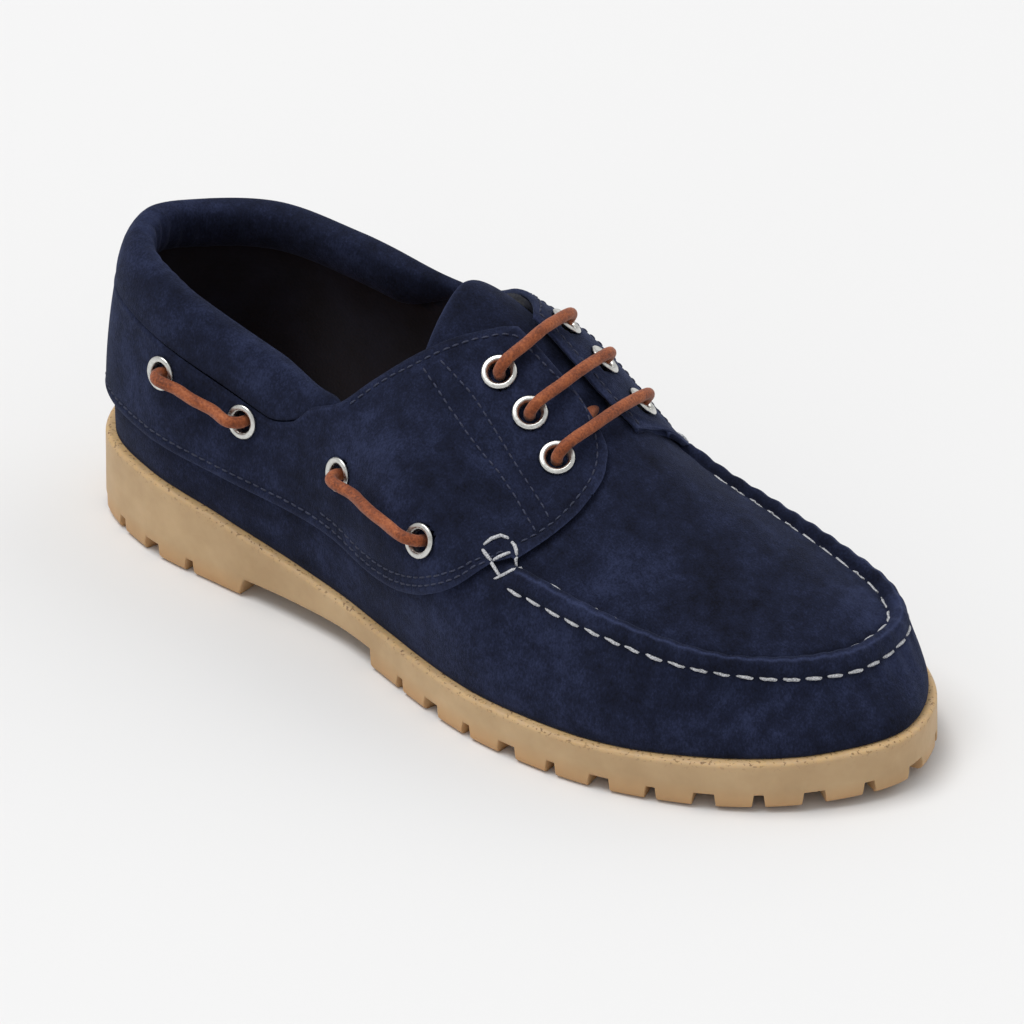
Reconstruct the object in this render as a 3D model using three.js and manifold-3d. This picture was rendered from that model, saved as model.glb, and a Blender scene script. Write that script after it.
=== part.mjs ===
// A three-eye boat shoe for the right foot, with a lugged rubber sole.
// Millimetres. +X runs from heel to toe, +Y to the inner (medial) side, +Z up.
// The origin is on the floor, in the middle of the sole's length and width.
import * as THREE from 'three';
import { mergeVertices } from 'three/addons/utils/BufferGeometryUtils.js';
import Module from 'manifold-3d';

const wasm = await Module();
wasm.setup();

// ---- driving dimensions -------------------------------------------------
const LENGTH = 304;            // sole, heel to toe
const SOLE_MID_Y = -2.5;       // middle of the sole's width, seen from the heel's centre line
const GAP = 0.3;               // air between two pieces that touch
const WALL = 2.0;              // upper leather and lining
const FLAP = 1.8;              // quarter leather laid over the upper
const SOLE_FORE = 14.7;        // sole's thickness under the ball
const SOLE_HEEL = 27.5;        // sole's thickness under the heel
const TOE_RISE = 4.4;          // rise of the sole's top edge at the toe
const TOE_SPRING = 3.0;        // rise of the tread at the toe
const LEDGE = 2.6;             // sole edge showing outside the upper
const LUG = 4.6;               // depth of the tread
const ARCH_Z = 6.5;            // underside of the sole between heel and forefoot
const HEEL_BREAST_X = 78;      // front of the heel block
const FOREPART_X = 138;        // back of the forefoot tread
const INSOLE_THICK = 3.0;
const TONGUE_THICK = 2.6;
const KEEPER_X = 190;          // where the raised toe seam ends at the quarters
const RIDGE_HEIGHT = 3.8;
const RIDGE_WIDTH = 6.5;
const EYELET_R = 5.5;
const EYELET_HOLE_R = 3.4;
const LACE_R = 1.85;
const BAR_BOW = [0.5, -0.4, -0.5];  // rise of each throat bar over the leather, mid-way
const SIDE_BOW = 0.6;

// ---- the last -------------------------------------------------------------
// One row for each cross-section of the shoe, from the heel to the ball.
// foot: half outline where the upper meets the sole, on the outer (lateral) and the
// inner (medial) side. latY, latZ, medY, medZ: the topline at the back, the shoulder
// of the instep in the middle and the toe seam in front.
// edge: 1 where the wall ends in a corner there, 0 where it rolls over the instep.
const SECTIONS = [
  { x: 38, footLat: -35.0, latY: -27.0, latZ: 89.0, footMed: 33.0, medY: 28.5, medZ: 94.0, edge: 1.0 },
  { x: 70, footLat: -37.5, latY: -29.5, latZ: 82.5, footMed: 32.5, medY: 32.0, medZ: 92.5, edge: 1.0 },
  { x: 100, footLat: -38.0, latY: -30.5, latZ: 77.0, footMed: 31.5, medY: 34.0, medZ: 88.5, edge: 0.8 },
  { x: 121, footLat: -40.0, latY: -31.5, latZ: 77.0, footMed: 33.5, medY: 36.0, medZ: 87.0, edge: 0.3 },
  { x: 141, footLat: -45.0, latY: -36.0, latZ: 75.0, footMed: 37.0, medY: 38.0, medZ: 83.0, edge: 0.0 },
  { x: 158, footLat: -50.0, latY: -40.0, latZ: 69.0, footMed: 41.0, medY: 39.5, medZ: 76.0, edge: 0.0 },
  { x: 171, footLat: -53.3, latY: -45.0, latZ: 61.0, footMed: 44.5, medY: 41.0, medZ: 67.0, edge: 0.2 },
  { x: 183, footLat: -55.5, latY: -48.8, latZ: 54.0, footMed: 47.0, medY: 42.5, medZ: 57.5, edge: 0.6 },
  { x: 202, footLat: -56.5, latY: -48.4, latZ: 50.2, footMed: 50.3, medY: 43.0, medZ: 50.6, edge: 1.0 },
  { x: 226, footLat: -54.4, latY: -45.6, latZ: 46.2, footMed: 51.5, medY: 43.0, medZ: 46.2, edge: 1.0 },
  { x: 248, footLat: -47.8, latY: -39.5, latZ: 42.7, footMed: 49.5, medY: 41.8, medZ: 42.7, edge: 1.0 },
];

// Rows around the toe, outer side to inner side, and around the heel, inner to outer.
const TOE_ROWS = [
  { footX: 270.0, footY: -36.8, topX: 266.0, topY: -28.5, topZ: 39.9 },
  { footX: 289.0, footY: -20.0, topX: 280.5, topY: -13.0, topZ: 37.6 },
  { footX: 301.3, footY: 4.0, topX: 288.4, topY: 6.5, topZ: 36.5 },
  { footX: 296.0, footY: 22.5, topX: 286.8, topY: 24.5, topZ: 36.8 },
  { footX: 279.0, footY: 39.2, topX: 275.0, topY: 36.5, topZ: 38.5 },
];
const HEEL_ROWS = [
  { footX: 12.0, footY: 20.0, topX: 16.0, topY: 15.0, topZ: 93.0 },
  { footX: 3.6, footY: -1.0, topX: 9.0, topY: -1.0, topZ: 94.5 },
  { footX: 12.0, footY: -22.0, topX: 16.0, topY: -17.0, topZ: 93.0 },
];

// Crest of the instep and toe, from where it would close over the ankle to the tip.
// round: 0 for a sharp roof, 1 for a flat crown, on each side of the crest.
const CREST = [
  { x: 30, y: 0.0, z: 118.0, roundLat: 0.40, roundMed: 0.40 },
  { x: 100, y: 5.5, z: 116.0, roundLat: 0.35, roundMed: 0.60 },
  { x: 131, y: 7.5, z: 111.5, roundLat: 0.30, roundMed: 0.70 },
  { x: 145, y: 8.0, z: 107.0, roundLat: 0.27, roundMed: 0.70 },
  { x: 157, y: 8.0, z: 101.5, roundLat: 0.26, roundMed: 0.70 },
  { x: 170, y: 7.8, z: 93.0, roundLat: 0.26, roundMed: 0.70 },
  { x: 183, y: 7.2, z: 84.0, roundLat: 0.32, roundMed: 0.70 },
  { x: 200, y: 6.2, z: 73.5, roundLat: 0.55, roundMed: 0.70 },
  { x: 226, y: 6.0, z: 62.0, roundLat: 0.90, roundMed: 0.90 },
  { x: 248, y: 7.0, z: 54.0, roundLat: 1.00, roundMed: 1.00 },
  { x: 262, y: 8.0, z: 49.5, roundLat: 1.00, roundMed: 1.00 },
  { x: 292, y: 9.0, z: 41.0, roundLat: 1.00, roundMed: 1.00 },
];
const TOE_CENTRE_X = 262;
const HEEL_CENTRE_X = 46;

// Topline in front of the ankle, where the quarters rise to the throat.
const TOPLINE = [
  { x: 106, latZ: 75.5, medZ: 87.0 },
  { x: 113, latZ: 79.0, medZ: 86.5 },
  { x: 121, latZ: 87.0, medZ: 90.5 },
  { x: 133, latZ: 97.5, medZ: 98.5 },
  { x: 140, latZ: 101.8, medZ: 102.0 },
  { x: 147, latZ: 104.2, medZ: 104.4 },
  { x: 153, latZ: 105.5, medZ: 105.5 },
];

// Eyelets of the throat, on the outer and the inner flap.
const THROAT_EYELETS = [
  { x: 157.5, latY: -10.0, medY: 21.4 },
  { x: 170.8, latY: -11.8, medY: 22.8 },
  { x: 184.0, latY: -15.2, medY: 25.0 },
];
// Eyelets of the side lace, from the instep to the heel.
const SIDE_EYELETS = [
  { x: 160.0, latZ: 57.0, medZ: 58.0 },
  { x: 119.0, latZ: 59.5, medZ: 62.5 },
  { x: 78.0, latZ: 61.0, medZ: 66.0 },
  { x: 44.0, latZ: 65.0, medZ: 71.5 },
];

// ---- mesh resolution --------------------------------------------------------
const COLUMNS_PER_ROW = 2;
const WALL_STEPS = 4;
const CROWN_STEPS = 4;

// ---- small helpers ------------------------------------------------------------
const clamp01 = (v) => Math.min(1, Math.max(0, v));

function smooth(v) {
  const c = clamp01(v);
  return c * c * (3 - 2 * c);
}

// Cubic through (knots, values) with three-point slopes. period > 0 closes it.
function spline(knots, values, at, period = 0) {
  const n = knots.length;
  const knot = (i) => {
    if (period > 0) return knots[((i % n) + n) % n] + period * Math.floor(i / n);
    return knots[i];
  };
  const value = (i) => values[period > 0 ? ((i % n) + n) % n : i];
  const last = period > 0 ? n - 1 : n - 2;
  let i = 0;
  while (i < last && at > knot(i + 1)) i += 1;
  const slope = (k) => {
    if (period === 0 && k === 0) return (value(1) - value(0)) / (knot(1) - knot(0));
    if (period === 0 && k === n - 1) return (value(k) - value(k - 1)) / (knot(k) - knot(k - 1));
    const back = knot(k) - knot(k - 1);
    const ahead = knot(k + 1) - knot(k);
    const before = (value(k) - value(k - 1)) / back;
    const after = (value(k + 1) - value(k)) / ahead;
    return (before * ahead + after * back) / (back + ahead);
  };
  const h = knot(i + 1) - knot(i);
  const f = (at - knot(i)) / h;
  const f2 = f * f;
  const f3 = f2 * f;
  return value(i) * (2 * f3 - 3 * f2 + 1) + slope(i) * h * (f3 - 2 * f2 + f)
    + value(i + 1) * (3 * f2 - 2 * f3) + slope(i + 1) * h * (f3 - f2);
}

const crestX = CREST.map((row) => row.x);
const crestAt = (name, x) => spline(crestX, CREST.map((row) => row[name]), x);

function soleTop(x) {
  const heel = (SOLE_HEEL - SOLE_FORE) * smooth((140 - x) / 110);
  const toe = TOE_RISE * clamp01((x - 211) / 93) ** 2;
  return SOLE_FORE + heel + toe;
}

function treadZ(x) {
  return TOE_SPRING * clamp01((x - 232) / 72) ** 2;
}

// All rows once around the foot: heel, outer side, toe, inner side.
function loopRows() {
  const side = (row, name, foot) => ({
    footX: row.x,
    footY: row[foot],
    topX: row.x,
    topY: row[`${name}Y`],
    topZ: row[`${name}Z`],
    edge: row.edge,
  });
  const corner = (row) => ({ ...row, edge: 1 });
  const outer = SECTIONS.map((row) => side(row, 'lat', 'footLat'));
  const inner = SECTIONS.map((row) => side(row, 'med', 'footMed')).reverse();
  const heel = HEEL_ROWS.map(corner);
  return [heel[1], heel[2], ...outer, ...TOE_ROWS.map(corner), ...inner, heel[0]];
}

const LOOP = loopRows();
const LOOP_KNOTS = [0];
for (let i = 1; i <= LOOP.length; i += 1) {
  const a = LOOP[i - 1];
  const b = LOOP[i % LOOP.length];
  LOOP_KNOTS.push(LOOP_KNOTS[i - 1] + Math.hypot(b.footX - a.footX, b.footY - a.footY));
}
const LOOP_LENGTH = LOOP_KNOTS.pop();

function loopAt(s) {
  const out = {};
  for (const name of ['footX', 'footY', 'topX', 'topY', 'topZ', 'edge']) {
    out[name] = spline(LOOP_KNOTS, LOOP.map((row) => row[name]), s, LOOP_LENGTH);
  }
  return out;
}

// Positions along the loop of the mesh columns, the same number between all rows.
function columnPositions() {
  const list = [];
  for (let i = 0; i < LOOP.length; i += 1) {
    const next = i + 1 < LOOP.length ? LOOP_KNOTS[i + 1] : LOOP_LENGTH;
    for (let k = 0; k < COLUMNS_PER_ROW; k += 1) {
      list.push(LOOP_KNOTS[i] + (next - LOOP_KNOTS[i]) * (k / COLUMNS_PER_ROW));
    }
  }
  return list;
}

// The columns themselves; the two of a pair across the shoe share their crest point.
function pairedColumns() {
  const list = columnPositions().map(loopAt);
  const n = list.length;
  for (let i = 0; i <= n / 2; i += 1) {
    const a = list[i];
    const b = list[(n - i) % n];
    const x = Math.min(TOE_CENTRE_X, Math.max(HEEL_CENTRE_X, (a.topX + b.topX) / 2));
    for (const c of [a, b]) {
      c.crestX = x;
      c.crestY = crestAt('y', x);
    }
  }
  return list;
}
const COLUMNS = pairedColumns();

// Roof-shaped fall from the crest (r = 0) to the shoulder (r = 1).
function roof(r, round) {
  return (Math.sqrt(r * r + round * round) - round) / (Math.sqrt(1 + round * round) - round);
}

// Point of the crown, `inset` millimetres in from the top edge of a column.
function crownPoint(c, inset) {
  const reach = Math.hypot(c.topX - c.crestX, c.topY - c.crestY);
  const r = clamp01(1 - inset / reach);
  const x = c.crestX + (c.topX - c.crestX) * r;
  const y = c.crestY + (c.topY - c.crestY) * r;
  const fall = c.topZ - crestAt('z', c.topX);
  const round = crestAt(c.topY < c.crestY ? 'roundLat' : 'roundMed', x);
  return new THREE.Vector3(x, y, crestAt('z', x) + fall * roof(r, round));
}

// Point of the wall: t = 0 at the sole, 1 at the top edge.
function wallPoint(c, t) {
  const foot = new THREE.Vector3(c.footX, c.footY, soleTop(c.footX) + GAP);
  const top = crownPoint(c, 0);
  const out = new THREE.Vector3(c.topX - c.crestX, c.topY - c.crestY, 0).normalize();
  const rolled = top.clone().sub(crownPoint(c, 1.5)).normalize();
  const steep = out.clone().multiplyScalar(0.22).add(new THREE.Vector3(0, 0, -1)).normalize();
  const down = rolled.lerp(steep, clamp01(c.edge)).normalize();
  const height = top.z - foot.z;
  const low = foot.clone().addScaledVector(out, 1.4);
  low.z += 0.36 * height;
  const high = top.clone().addScaledVector(down, 0.36 * height);
  return new THREE.CubicBezierCurve3(foot, low, high, top).getPoint(t);
}

// How far the raised seam stands, 0 behind the keepers and 1 in front of them.
const ridgeAt = (x) => smooth((x - KEEPER_X) / 6 + 0.5);

// Rings of points from the sole's edge up the wall, over the seam and in to the crest.
function lastRings(ridge) {
  const rings = [];
  for (let k = 0; k <= WALL_STEPS; k += 1) {
    rings.push(COLUMNS.map((c) => wallPoint(c, k / WALL_STEPS)));
  }
  const seam = [
    { inset: 1.3, lift: 0.9 },
    { inset: 3.9, lift: 1.0 },
    { inset: RIDGE_WIDTH, lift: 0.0 },
  ];
  for (const step of seam) {
    rings.push(COLUMNS.map((c) => {
      const p = crownPoint(c, step.inset);
      p.z += ridge * RIDGE_HEIGHT * step.lift * ridgeAt(c.topX);
      return p;
    }));
  }
  for (let k = 1; k <= CROWN_STEPS; k += 1) {
    rings.push(COLUMNS.map((c) => {
      const reach = Math.hypot(c.topX - c.crestX, c.topY - c.crestY);
      return crownPoint(c, RIDGE_WIDTH + (reach - RIDGE_WIDTH) * (k / CROWN_STEPS));
    }));
  }
  return rings;
}

// Geometry from rings; the last ring closes on itself across the crest.
function ringGeometry(rings) {
  const n = COLUMNS.length;
  const positions = rings.flat().flatMap((p) => [p.x, p.y, p.z]);
  const index = [];
  for (let k = 0; k + 1 < rings.length; k += 1) {
    for (let i = 0; i < n; i += 1) {
      const j = (i + 1) % n;
      index.push(k * n + i, k * n + j, (k + 1) * n + i);
      index.push(k * n + j, (k + 1) * n + j, (k + 1) * n + i);
    }
  }
  const geometry = new THREE.BufferGeometry();
  geometry.setAttribute('position', new THREE.Float32BufferAttribute(positions, 3));
  geometry.setIndex(index);
  return geometry;
}

// Ring points moved outward along the surface's own normals.
function grownRings(rings, grow) {
  const geometry = ringGeometry(rings);
  geometry.computeVertexNormals();
  const normals = geometry.getAttribute('normal');
  const n = COLUMNS.length;
  const last = rings.length - 1;
  return rings.map((ring, k) => ring.map((p, i) => {
    const out = new THREE.Vector3();
    ring.forEach((q, j) => {
      const shared = j === i || (k === last && q.distanceTo(p) < 1e-6);
      if (shared) out.add(new THREE.Vector3().fromBufferAttribute(normals, k * n + j));
    });
    return p.clone().addScaledVector(out.normalize(), grow);
  }));
}

function toSolid(geometry) {
  const clean = geometry.clone();
  clean.deleteAttribute('normal');
  clean.deleteAttribute('uv');
  const merged = mergeVertices(clean, 1e-3);
  const source = merged.getAttribute('position').array;
  const index = [];
  const raw = merged.getIndex().array;
  for (let i = 0; i < raw.length; i += 3) {
    const [a, b, c] = [raw[i], raw[i + 1], raw[i + 2]];
    if (a !== b && b !== c && a !== c) index.push(a, b, c);
  }
  return new wasm.Manifold(new wasm.Mesh({
    numProp: 3, vertProperties: new Float32Array(source), triVerts: new Uint32Array(index),
  }));
}

function toGeometry(solid) {
  const mesh = solid.asOriginal().simplify(0.02).getMesh();
  const geometry = new THREE.BufferGeometry();
  geometry.setAttribute('position', new THREE.BufferAttribute(mesh.vertProperties, 3));
  geometry.setIndex(new THREE.BufferAttribute(mesh.triVerts, 1));
  return geometry;
}

// Closed body from rings stacked upward, with ruled caps across the shoe's width.
function stackSolid(rings, openTop = false) {
  const n = COLUMNS.length;
  const geometry = ringGeometry(rings);
  const index = Array.from(geometry.getIndex().array);
  const top = (rings.length - 1) * n;
  for (let i = 0; i < n / 2; i += 1) {
    const [a, b] = [i, i + 1];
    const [c, d] = [(n - i) % n, n - i - 1];
    index.push(a, c, b, b, c, d);
    if (!openTop) index.push(top + a, top + b, top + c, top + b, top + d, top + c);
  }
  geometry.setIndex(index);
  return toSolid(geometry);
}

// The last grown by a distance, its sole edge carried down by `drop`.
function lastSolid(grow, drop, ridge = 0) {
  const rings = grownRings(lastRings(ridge), grow);
  const low = rings[0].map((p) => new THREE.Vector3(p.x, p.y, p.z - drop));
  return stackSolid(drop > 0 ? [low, ...rings] : rings, true);
}

function prism(points, depth) {
  const shape = new THREE.Shape(points.map(([u, v]) => new THREE.Vector2(u, v)));
  return new THREE.ExtrudeGeometry(shape, { depth, bevelEnabled: false, curveSegments: 4 });
}

// Prism with its outline seen from above, between two heights.
function planPrism(points, low, high) {
  return toSolid(prism(points, high - low).translate(0, 0, low));
}

// Prism with its outline seen from the side, right across the shoe.
function sidePrism(points, low = -90, high = 90) {
  return toSolid(prism(points, high - low).rotateX(Math.PI / 2).translate(0, high, 0));
}

// Closed body through a row of closed sections, with fan caps at both ends.
function sweptSolid(sections) {
  const m = sections[0].length;
  const positions = sections.flat().flatMap((p) => [p.x, p.y, p.z]);
  const index = [];
  for (let k = 0; k + 1 < sections.length; k += 1) {
    for (let i = 0; i < m; i += 1) {
      const j = (i + 1) % m;
      index.push(k * m + i, k * m + j, (k + 1) * m + i);
      index.push(k * m + j, (k + 1) * m + j, (k + 1) * m + i);
    }
  }
  const end = (sections.length - 1) * m;
  for (let i = 1; i + 1 < m; i += 1) {
    index.push(0, i + 1, i);
    index.push(end, end + i, end + i + 1);
  }
  const geometry = new THREE.BufferGeometry();
  geometry.setAttribute('position', new THREE.Float32BufferAttribute(positions, 3));
  geometry.setIndex(index);
  return toSolid(geometry);
}

// ---- outline rings of the sole and the insole ----------------------------------
// Foot outline moved outward in plan, at heights given by a function of x.
function outlineRing(out, heightAt) {
  const n = COLUMNS.length;
  return COLUMNS.map((c, i) => {
    const before = COLUMNS[(i + n - 1) % n];
    const after = COLUMNS[(i + 1) % n];
    const along = new THREE.Vector2(after.footX - before.footX, after.footY - before.footY);
    along.normalize();
    const x = c.footX + along.y * out;
    const y = c.footY - along.x * out;
    return new THREE.Vector3(x, y, heightAt(c.footX));
  });
}

// ---- sole ------------------------------------------------------------------------
const BORDER_LUG = 14;         // length of the edge lugs, inward
const CHANNEL = 3.5;           // groove between edge lugs and middle blocks
const LUG_PITCH = 16;
const SIPE_WIDTH = 2.2;        // narrow and wide notches take turns round the edge
const NOTCH_WIDTH = 5.5;

function soleBody() {
  return stackSolid([
    outlineRing(LEDGE - 0.2, treadZ),
    outlineRing(LEDGE + 0.7, (x) => treadZ(x) + 1.6),
    outlineRing(LEDGE + 0.3, (x) => soleTop(x) - 1.4),
    outlineRing(LEDGE - 0.5, soleTop),
  ]);
}

// Wedge cutter for one notch in the sole's edge, at `s` along the outline.
function notch(s, width) {
  const here = loopAt(s);
  const ahead = loopAt(s + 1);
  const along = new THREE.Vector2(ahead.footX - here.footX, ahead.footY - here.footY).normalize();
  const inward = new THREE.Vector2(-along.y, along.x);
  const corner = (side, depth) => {
    const half = side * (depth < 0 ? width / 2 + 0.7 : width / 2 - 0.5);
    return [here.footX + along.x * half + inward.x * depth,
      here.footY + along.y * half + inward.y * depth];
  };
  const points = [corner(-1, -6), corner(1, -6), corner(1, BORDER_LUG + 1), corner(-1, BORDER_LUG + 1)];
  const floor = treadZ(here.footX);
  return planPrism(points, floor - 8, floor + LUG);
}

function notches() {
  const cutters = [];
  const xAt = (s) => loopAt(s).footX;
  let count = 0;
  for (let s = LUG_PITCH / 2; s < LOOP_LENGTH; s += LUG_PITCH) {
    const x = xAt(s);
    const onTread = x > FOREPART_X + 6 || x < HEEL_BREAST_X - 7;
    if (onTread) cutters.push(notch(s, count % 2 ? NOTCH_WIDTH : SIPE_WIDTH));
    count += 1;
  }
  return cutters;
}

// Groove between the edge lugs and the middle, with crosswise grooves inside it.
function middleTread() {
  const field = (inset) => stackSolid([
    outlineRing(-inset, () => -1),
    outlineRing(-inset, (x) => treadZ(x) + LUG),
  ]);
  const inner = field(BORDER_LUG + CHANNEL);
  let grooves = field(BORDER_LUG).subtract(inner);
  for (let x = 22; x < LENGTH; x += LUG_PITCH) {
    const bar = [[x, -70], [x + CHANNEL, -70], [x + CHANNEL + 5, 0], [x + CHANNEL, 70], [x, 70], [x + 5, 0]];
    grooves = grooves.add(planPrism(bar, -2, 30).intersect(inner));
  }
  return grooves;
}

function outsole() {
  const arch = [[HEEL_BREAST_X, -4], [FOREPART_X, -4], [FOREPART_X - 0.6, ARCH_Z],
    [HEEL_BREAST_X + 3, ARCH_Z]];
  let sole = soleBody().subtract(sidePrism(arch));
  for (const cutter of notches()) sole = sole.subtract(cutter);
  return sole.subtract(middleTread());
}

function insole() {
  const floor = (x) => soleTop(x) + GAP;
  return stackSolid([
    outlineRing(-WALL - 1.4, floor),
    outlineRing(-WALL - 1.4, (x) => floor(x) + INSOLE_THICK),
  ]);
}

// ---- openings and outlines of the upper -----------------------------------------------
const COLLAR_DROP = 14;        // height of the padded collar
const COLLAR_END_X = 110;      // where it runs in under the quarters

// Height of the collar's top edge on one side, `name` being lat or med.
function collarTop(name, x) {
  const heel = { x: HEEL_ROWS[1].topX, z: HEEL_ROWS[1].topZ };
  const rows = [heel, ...SECTIONS.slice(0, 3).map((row) => ({ x: row.x, z: row[`${name}Z`] }))];
  return spline(rows.map((row) => row.x), rows.map((row) => row.z), Math.max(x, heel.x));
}

const collarDrop = (x) => COLLAR_DROP * (1 - 0.6 * smooth((x - 86) / 22));

// Everything above the collar's seam and the quarters' topline, on one side.
function openingCut(name, low, high) {
  const line = [];
  for (let x = -10; x < COLLAR_END_X - 4; x += 8) {
    line.push([x, collarTop(name, x) - collarDrop(x)]);
  }
  const front = TOPLINE.map((row) => [row.x, row[`${name}Z`]]);
  return sidePrism([[-10, 160], ...line, ...front, [TOPLINE[TOPLINE.length - 1].x, 160]], low, high);
}

// Gap in the upper between the quarters, over the tongue.
function throatCut() {
  const slot = [[120, -8], [168, -6], [178, -3], [184, 2], [185.5, 7], [183, 12], [177, 16],
    [166, 19], [120, 22]];
  return planPrism(slot, 40, 160);
}

// Lower edge of the quarter, seen from the side, the same on both sides of the shoe.
const QUARTER_EDGE = [
  { x: -10, z: 43 },
  { x: 40, z: 41.5 },
  { x: 90, z: 38.5 },
  { x: 117, z: 37 },
  { x: 132, z: 34.8 },
  { x: 146, z: 35.2 },
  { x: 158, z: 38.5 },
  { x: 168, z: 43.5 },
  { x: 177, z: 49.5 },
  { x: 185, z: 57 },
];

// Front and throat edges of the two quarters, seen from above, outside to inside.
const OUTER_FLAP = [
  [188, -80], [185, -52], [191, -42], [196.5, -30], [198.5, -17], [196, -6.5], [190, 0],
  [181, 3.6], [150, 3.2],
];
const INNER_FLAP = [
  [192, 80], [191, 46], [193, 37], [193, 26], [190.5, 16], [185, 10.5], [177, 9.8], [150, 11.6],
];

function quarterOutline(flap) {
  const side = Math.sign(flap[0][1]);
  const heelY = HEEL_ROWS[1].footY + side * GAP / 2;
  return [[-10, side * 80], ...flap, [60, heelY], [-10, heelY]];
}

function quarter(shell, flap, holes, opening) {
  const region = sidePrism([...QUARTER_EDGE.map((row) => [row.x, row.z]), [215, 57], [215, 160], [-10, 160]]);
  return shell.intersect(region).intersect(planPrism(quarterOutline(flap), 0, 150))
    .subtract(opening).subtract(holes);
}

function tongue() {
  const top = WALL + 0.6;
  const outline = [[205, -12], [190, -20], [165, -24], [140, -27], [133, -22], [130.5, -8],
    [130, 6], [131, 18], [135, 28], [142, 32], [165, 33], [190, 31], [205, 22]];
  return lastSolid(-top, 0).subtract(lastSolid(-top - TONGUE_THICK, 12))
    .intersect(planPrism(outline, 45, 150));
}

// Padded roll round the back of the topline.
function collar(clear = 0) {
  const ends = COLUMNS.map((c, i) => ({ c, i })).filter(({ c }) => c.topX < COLLAR_END_X);
  const inner = ends.filter(({ i }) => i > COLUMNS.length / 2);
  const outer = ends.filter(({ i }) => i <= COLUMNS.length / 2);
  return sweptSolid([...inner, ...outer].map(({ c }) => {
    const out = new THREE.Vector3(c.topX - c.crestX, c.topY - c.crestY, 0).normalize();
    const full = 1 - 0.55 * smooth((c.topX - 82) / 26);
    const height = wallPoint(c, 1).z - wallPoint(c, 0).z;
    const seam = c.topZ - collarDrop(c.topX) + GAP;
    const low = 1 - (wallPoint(c, 1).z - seam) / height;
    const at = (t, move, lift) => {
      const p = wallPoint(c, low + (1 - low) * t).addScaledVector(out, move * full);
      p.z = Math.max(seam, p.z + lift * full);
      return p;
    };
    const base = at(0, -0.2, 0);
    base.z = seam;
    const foot = at(0, -6.5, 0);
    foot.z = seam;
    const ring = [foot, at(0.6, -9, 0), at(1, -7.2, 0.6), at(1, -3.6, 2.4), at(1, -0.4, 1.4),
      at(0.75, 1.6, 0.5), at(0.35, 1.4, 0), base];
    const middle = ring.reduce((sum, p) => sum.add(p), new THREE.Vector3()).divideScalar(ring.length);
    return ring.map((p) => p.addScaledVector(p.clone().sub(middle).normalize(), clear));
  }));
}

// ---- eyelets and laces -----------------------------------------------------------------
const EYELET_BARREL = 3.9;
const EYELET_LENGTH = 2.6;

const SIDES = [
  { name: 'outer', key: 'lat', sign: -1 },
  { name: 'inner', key: 'med', sign: 1 },
];

// Where a ray meets a surface, with the surface's normal there.
function touch(surface, origin, direction) {
  const ray = new THREE.Raycaster(origin, direction);
  const hit = ray.intersectObject(surface)[0];
  return { point: hit.point, normal: hit.face.normal.clone() };
}

function throatSpots(surface) {
  const down = new THREE.Vector3(0, 0, -1);
  return SIDES.flatMap((side) => THROAT_EYELETS.map((row, k) => ({
    name: `eyelet_${side.name}_${k + 1}`,
    ...touch(surface, new THREE.Vector3(row.x, row[`${side.key}Y`], 200), down),
  })));
}

function sideSpots(surface) {
  return SIDES.flatMap((side) => SIDE_EYELETS.map((row, k) => {
    const start = new THREE.Vector3(row.x, side.sign * 120, row[`${side.key}Z`]);
    const spot = touch(surface, start, new THREE.Vector3(0, -side.sign, 0));
    return { name: `side_eyelet_${side.name}_${k + 1}`, ...spot };
  }));
}

// Turn a geometry made about +Z so that it stands on a spot, along its normal.
function standOn(geometry, spot) {
  const turn = new THREE.Quaternion().setFromUnitVectors(new THREE.Vector3(0, 0, 1), spot.normal);
  return geometry.applyQuaternion(turn).translate(spot.point.x, spot.point.y, spot.point.z);
}

function eyeletGeometry(spot) {
  const profile = [
    [EYELET_HOLE_R, -EYELET_LENGTH], [EYELET_BARREL, -EYELET_LENGTH], [EYELET_BARREL, 0.6],
    [EYELET_R, 0.6], [EYELET_R - 1, 1.3], [EYELET_HOLE_R, 0.8],
  ].map(([r, z]) => new THREE.Vector2(r, z));
  const ring = new THREE.LatheGeometry([...profile, profile[0].clone()], 10);
  return standOn(ring.rotateX(Math.PI / 2), spot);
}

function eyeletHole(spot) {
  const hole = new THREE.CylinderGeometry(EYELET_BARREL + 0.45, EYELET_BARREL + 0.45, 16, 10);
  return toSolid(standOn(hole.rotateX(Math.PI / 2).translate(0, 0, -3), spot));
}

// Lace from one eyelet over the leather to another; `bow` lifts its middle.
function laceGeometry(surface, a, b, bow) {
  const onSurface = (f) => {
    const p = a.point.clone().lerp(b.point, f);
    const out = a.normal.clone().add(b.normal).normalize();
    const hit = touch(surface, p.clone().addScaledVector(out, 60), out.clone().negate());
    return hit.point.addScaledVector(out, LACE_R + 1.2 + bow * Math.sin(Math.PI * f));
  };
  const rise = (spot, far) => {
    const aim = far.point.clone().sub(spot.point).normalize();
    return spot.point.clone().addScaledVector(spot.normal, LACE_R + 2.5).addScaledVector(aim, 1.4);
  };
  const sunk = (spot) => spot.point.clone().addScaledVector(spot.normal, -0.8);
  const points = [sunk(a), rise(a, b), onSurface(0.3), onSurface(0.5), onSurface(0.7), rise(b, a), sunk(b)];
  const path = new THREE.CatmullRomCurve3(points, false, 'centripetal');
  const circle = new THREE.Shape().absarc(0, 0, LACE_R, 0, Math.PI * 2, false);
  return new THREE.ExtrudeGeometry(circle, {
    steps: 12, extrudePath: path, bevelEnabled: false, curveSegments: 4,
  });
}

// ---- the shoe -----------------------------------------------------------------------------
const shoe = new THREE.Group();
shoe.position.set(-LENGTH / 2, -SOLE_MID_Y, 0);

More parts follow.
